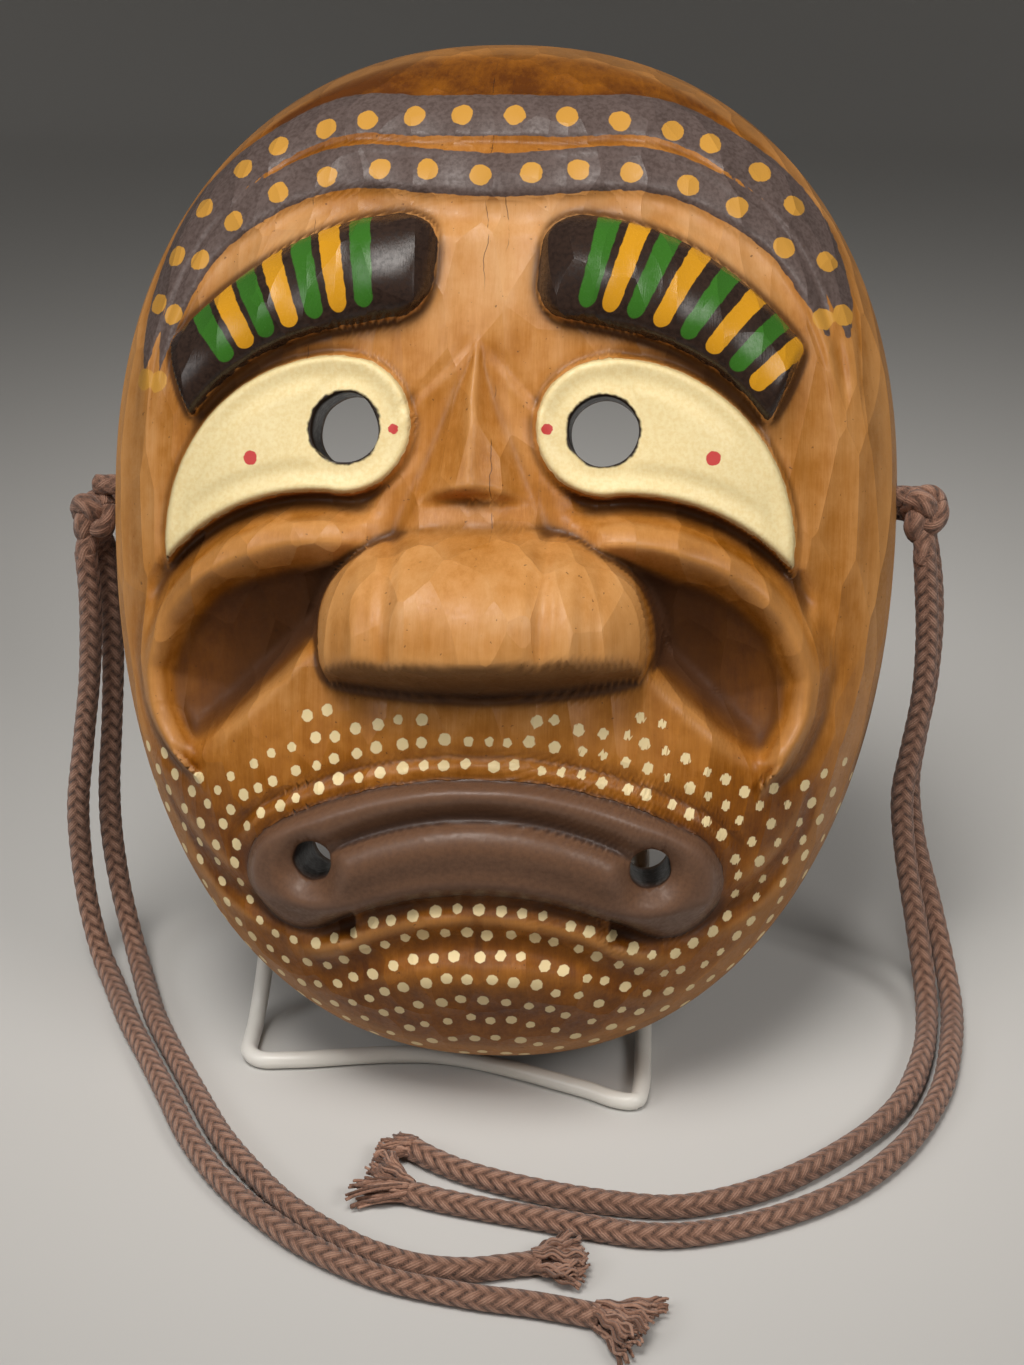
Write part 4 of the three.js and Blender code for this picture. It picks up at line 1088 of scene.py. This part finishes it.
# %% Braided cotton
cotton = Recipe("braided_cotton")
at = cotton.nodes.new("ShaderNodeTexCoord").outputs["Object"]
stitch = cotton.stored("braid")
fuzz = cotton.noise(at, 1500.0, 3.0, 0.7)
slow = cotton.noise(at, 30.0, 2.0)
yarns = cotton.maths("SINE", cotton.maths("MULTIPLY", cotton.stored("yarn"), 8 * np.pi))
# The braid's height runs the colour from painted shade, nearly black, in the gaps between stitches to the
# rubbed pale crests.
cord_colour = cotton.ramp(cotton.maths("ADD", stitch, cotton.step(fuzz, 0.3, 0.7, -0.1, 0.1)), [
    (0.35, (0.035, 0.016, 0.01)), (0.6, (0.17, 0.083, 0.052)), (0.82, (0.32, 0.167, 0.11)),
    (1.0, (0.43, 0.245, 0.17))])
cord_colour = cotton.mix(cotton.step(slow, 0.35, 0.7, 0.0, 0.35), cord_colour, (0.20, 0.105, 0.07))
# Painted shade in the thin lines between the yarns.
cord_colour = cotton.mix(cotton.step(yarns, -0.5, -1.0, 0.0, 0.45), cord_colour, (0.05, 0.026, 0.018))
cotton_normal = cotton.bump(yarns, 0.5, 0.00012, cotton.bump(fuzz, 0.5, 0.0005))
cotton_braid = cotton.finish(Base=cord_colour, Roughness=0.95, Sheen=0.2, SheenRoughness=0.5,
                             Normal=cotton_normal)

# %% [markdown]
# The wire has a thick off-white coating that is a little glossy. Rust shows where a fine noise and a slow one
# are both high, so it comes in a few small clusters.

# %% Coated wire
coat = Recipe("coated_wire")
at = coat.nodes.new("ShaderNodeTexCoord").outputs["Object"]
speck = coat.noise(at, 170.0, 4.0, 0.65)
drift = coat.noise(at, 22.0, 3.0)
white = coat.mix(coat.step(drift, 0.35, 0.7), (0.80, 0.78, 0.73), (0.70, 0.67, 0.60))
rust = coat.maths("MULTIPLY", coat.step(speck, 0.66, 0.74), coat.step(drift, 0.5, 0.62))
coated = coat.finish(Base=coat.mix(rust, white, (0.25, 0.09, 0.03)),
                     Roughness=coat.maths("ADD", 0.3, coat.maths("MULTIPLY", rust, 0.5)),
                     Normal=coat.bump(drift, 0.15, 0.001))

# %% [markdown]
# ## The display stand
# The stand is round wire: a closed loop whose front bar carries the chin and whose top reaches into the
# hollow, and a leg at the back, welded to it. Its bends are smooth, so it is swept with many steps along the
# same points as the solid model.

# %% The display stand
WIRE = 4.2
r = WIRE / 2
top = 141.0
loop_points = [
    (-10, 17.4, top), (-40, 17.4, top), (-46.5, 17.3, top - 1.6), (-50, 16.9, top - 8), (-53.4, 18.4, 104),
    (-56.2, 18.2, 62), (-59.4, 17, 18), (-61, 13.4, 6.6), (-61.4, 7, r + 0.8), (-61.5, 1, r + 0.2),
    (-61, -4.5, r + 0.1), (-58, -7.6, r + 0.1), (-50, -7.4, r + 0.1), (-14, -3.6, r + 0.1),
    (22, -16.2, r + 0.1), (31, -20.8, r + 0.1), (35, -21, r + 0.1), (36.2, -16, r + 0.1), (36.3, 2, r + 0.2),
    (36.2, 8, r + 0.8), (36, 13, 6.6), (35.7, 16, 18), (34.7, 18, 62), (33.8, 18.4, 104),
    (32.9, 16.9, top - 8), (29.5, 17.3, top - 1.6), (23, 17.4, top), (-11, 17.4, top)]
FOOT_BACK = 98.0
leg_points = [
    (-53.4, 18.4, 104), (-52.4, 57, 55), (-51, 93, 7), (-48.5, 97.4, 2.6), (-43, FOOT_BACK, r),
    (-30, FOOT_BACK, r), (10, FOOT_BACK, r), (24, FOOT_BACK, r), (29.5, 97.4, 2.6), (32, 93, 7), (33, 57, 55),
    (33.8, 18.4, 104)]
loop_route, loop_length = smooth_route(np.array(loop_points) + to_row, 1.0)
leg_route, leg_length = smooth_route(np.array(leg_points) + to_row, 1.0)
loop_mesh, loop_faces = tube(loop_route, r, 18, away=(1, 1, 1))
leg_mesh, leg_faces = tube(leg_route, r, 18, away=(1, 1, 1))
welds = []
for at_x in (-53.4, 33.8):
    weld_line = np.array([(at_x, 17.6, 109), (at_x, 18.4, 105), (at_x, 19.4, 101.5), (at_x, 21.2, 99)])
    bead, _ = smooth_route(weld_line + to_row, 0.8)
    swell = r * (0.35 + 0.95 * np.sin(np.linspace(0.12, np.pi - 0.12, len(bead))) ** 0.5)
    welds.append(tube(bead, swell[:, None], 18, away=(1, 0.2, 0.1)))
parts, faces, count = [], [], 0
for points, some_faces in [(loop_mesh, loop_faces), (leg_mesh, leg_faces)] + welds:
    faces += [f + count for f in some_faces]
    parts.append(points)
    count += len(points)
wire_points = np.concatenate(parts)
wire_points[:, 2] = np.maximum(wire_points[:, 2], 0.0)
stand = add_mesh("wire_stand", wire_points, faces)
print("wire: loop", round(loop_length), "mm, leg", round(leg_length), "mm")

# %% [markdown]
# ## What rides on what
# Nothing here moves, so every piece rides on the one body. Each fine piece stands for its solid.

# %% What rides on what
def dress(piece, node, slot_name, *materials):
    """The piece stands for a node, on the one body, and gets its finish."""
    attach(piece, "root")
    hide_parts(node)
    piece.data.materials.clear()
    for material in materials:
        piece.data.materials.append(material)


dress(shell, "mask", "carved_wood", varnished, bored_wood)
dress(stand, "display_stand", "coated_wire", coated)
for side, piece in knots.items():
    dress(piece, side + "_knot", "braided_cord", cotton_braid)
for name, piece in tail_pieces.items():
    fray = frays[name]
    side = name.split("_")[0]
    dress(piece, name, "braided_cord", cotton_braid)
    dress(fray, name.replace("tail", "fray"), "braided_cord", cotton_braid)
    route = tail_routes[name]

# %% [markdown]
# ## Floor and light
# The floor is a plain pale sheet that curves up behind the mask. A large soft light from above and in front
# gives the varnish its long highlights, and two weaker ones keep the shadows open. Their beams are narrowed,
# so that the floor around throws less light back up under the nose and the chin.

# %% Floor and light
t = np.linspace(0, 1, 60)
sweep_y = np.interp(t, [0, 0.55, 1], [-1.6, 0.9, 1.25])
sweep_z = 0.9 * np.clip((t - 0.55) / 0.45, 0, 1) ** 2
across_x = np.linspace(-2.2, 2.2, 2)
sweep = np.stack([np.repeat(across_x[None], 60, 0), np.repeat(sweep_y[:, None], 2, 1),
                  np.repeat(sweep_z[:, None], 2, 1)], axis=-1).reshape(-1, 3)
floor = add_mesh("floor_sweep", sweep, [grid_faces(60, 2)[:, ::-1]], 1.0)
paper = Recipe("pale_paper")
floor.data.materials.append(paper.finish(Base=(0.60, 0.59, 0.57), Roughness=0.95))


def soft_light(name, at, size, power, beam, warmth=(1, 1, 1)):
    """A square area light that looks at the mask's middle, its beam narrowed to so many degrees."""
    light = bpy.data.lights.new(name, "AREA")
    light.size = size
    light.energy = power
    light.spread = np.radians(beam)
    light.color = warmth
    lamp = bpy.data.objects.new(name, light)
    away = np.array(at) - [0, 0, 0.12]
    away /= np.linalg.norm(away)
    side = np.cross([0, 0, 1], away)
    side /= np.linalg.norm(side)
    place_it = Matrix((side, np.cross(away, side), away)).transposed().to_4x4()
    place_it.translation = at
    lamp.matrix_world = place_it
    bpy.context.scene.collection.objects.link(lamp)


soft_light("overhead_softbox", (-0.14, -0.42, 1.05), 0.55, 0.8, 42, (1, 0.97, 0.93))
soft_light("right_softbox", (0.62, -0.52, 0.72), 0.45, 0.34, 46, (1, 0.97, 0.94))
soft_light("left_softbox", (-0.66, -0.50, 0.62), 0.45, 0.2, 46)
world = bpy.data.worlds.new("studio")
bpy.context.scene.world = world
world.use_nodes = True
world.node_tree.nodes["Background"].inputs["Color"].default_value = (1.0, 0.97, 0.93, 1)
world.node_tree.nodes["Background"].inputs["Strength"].default_value = 0.11
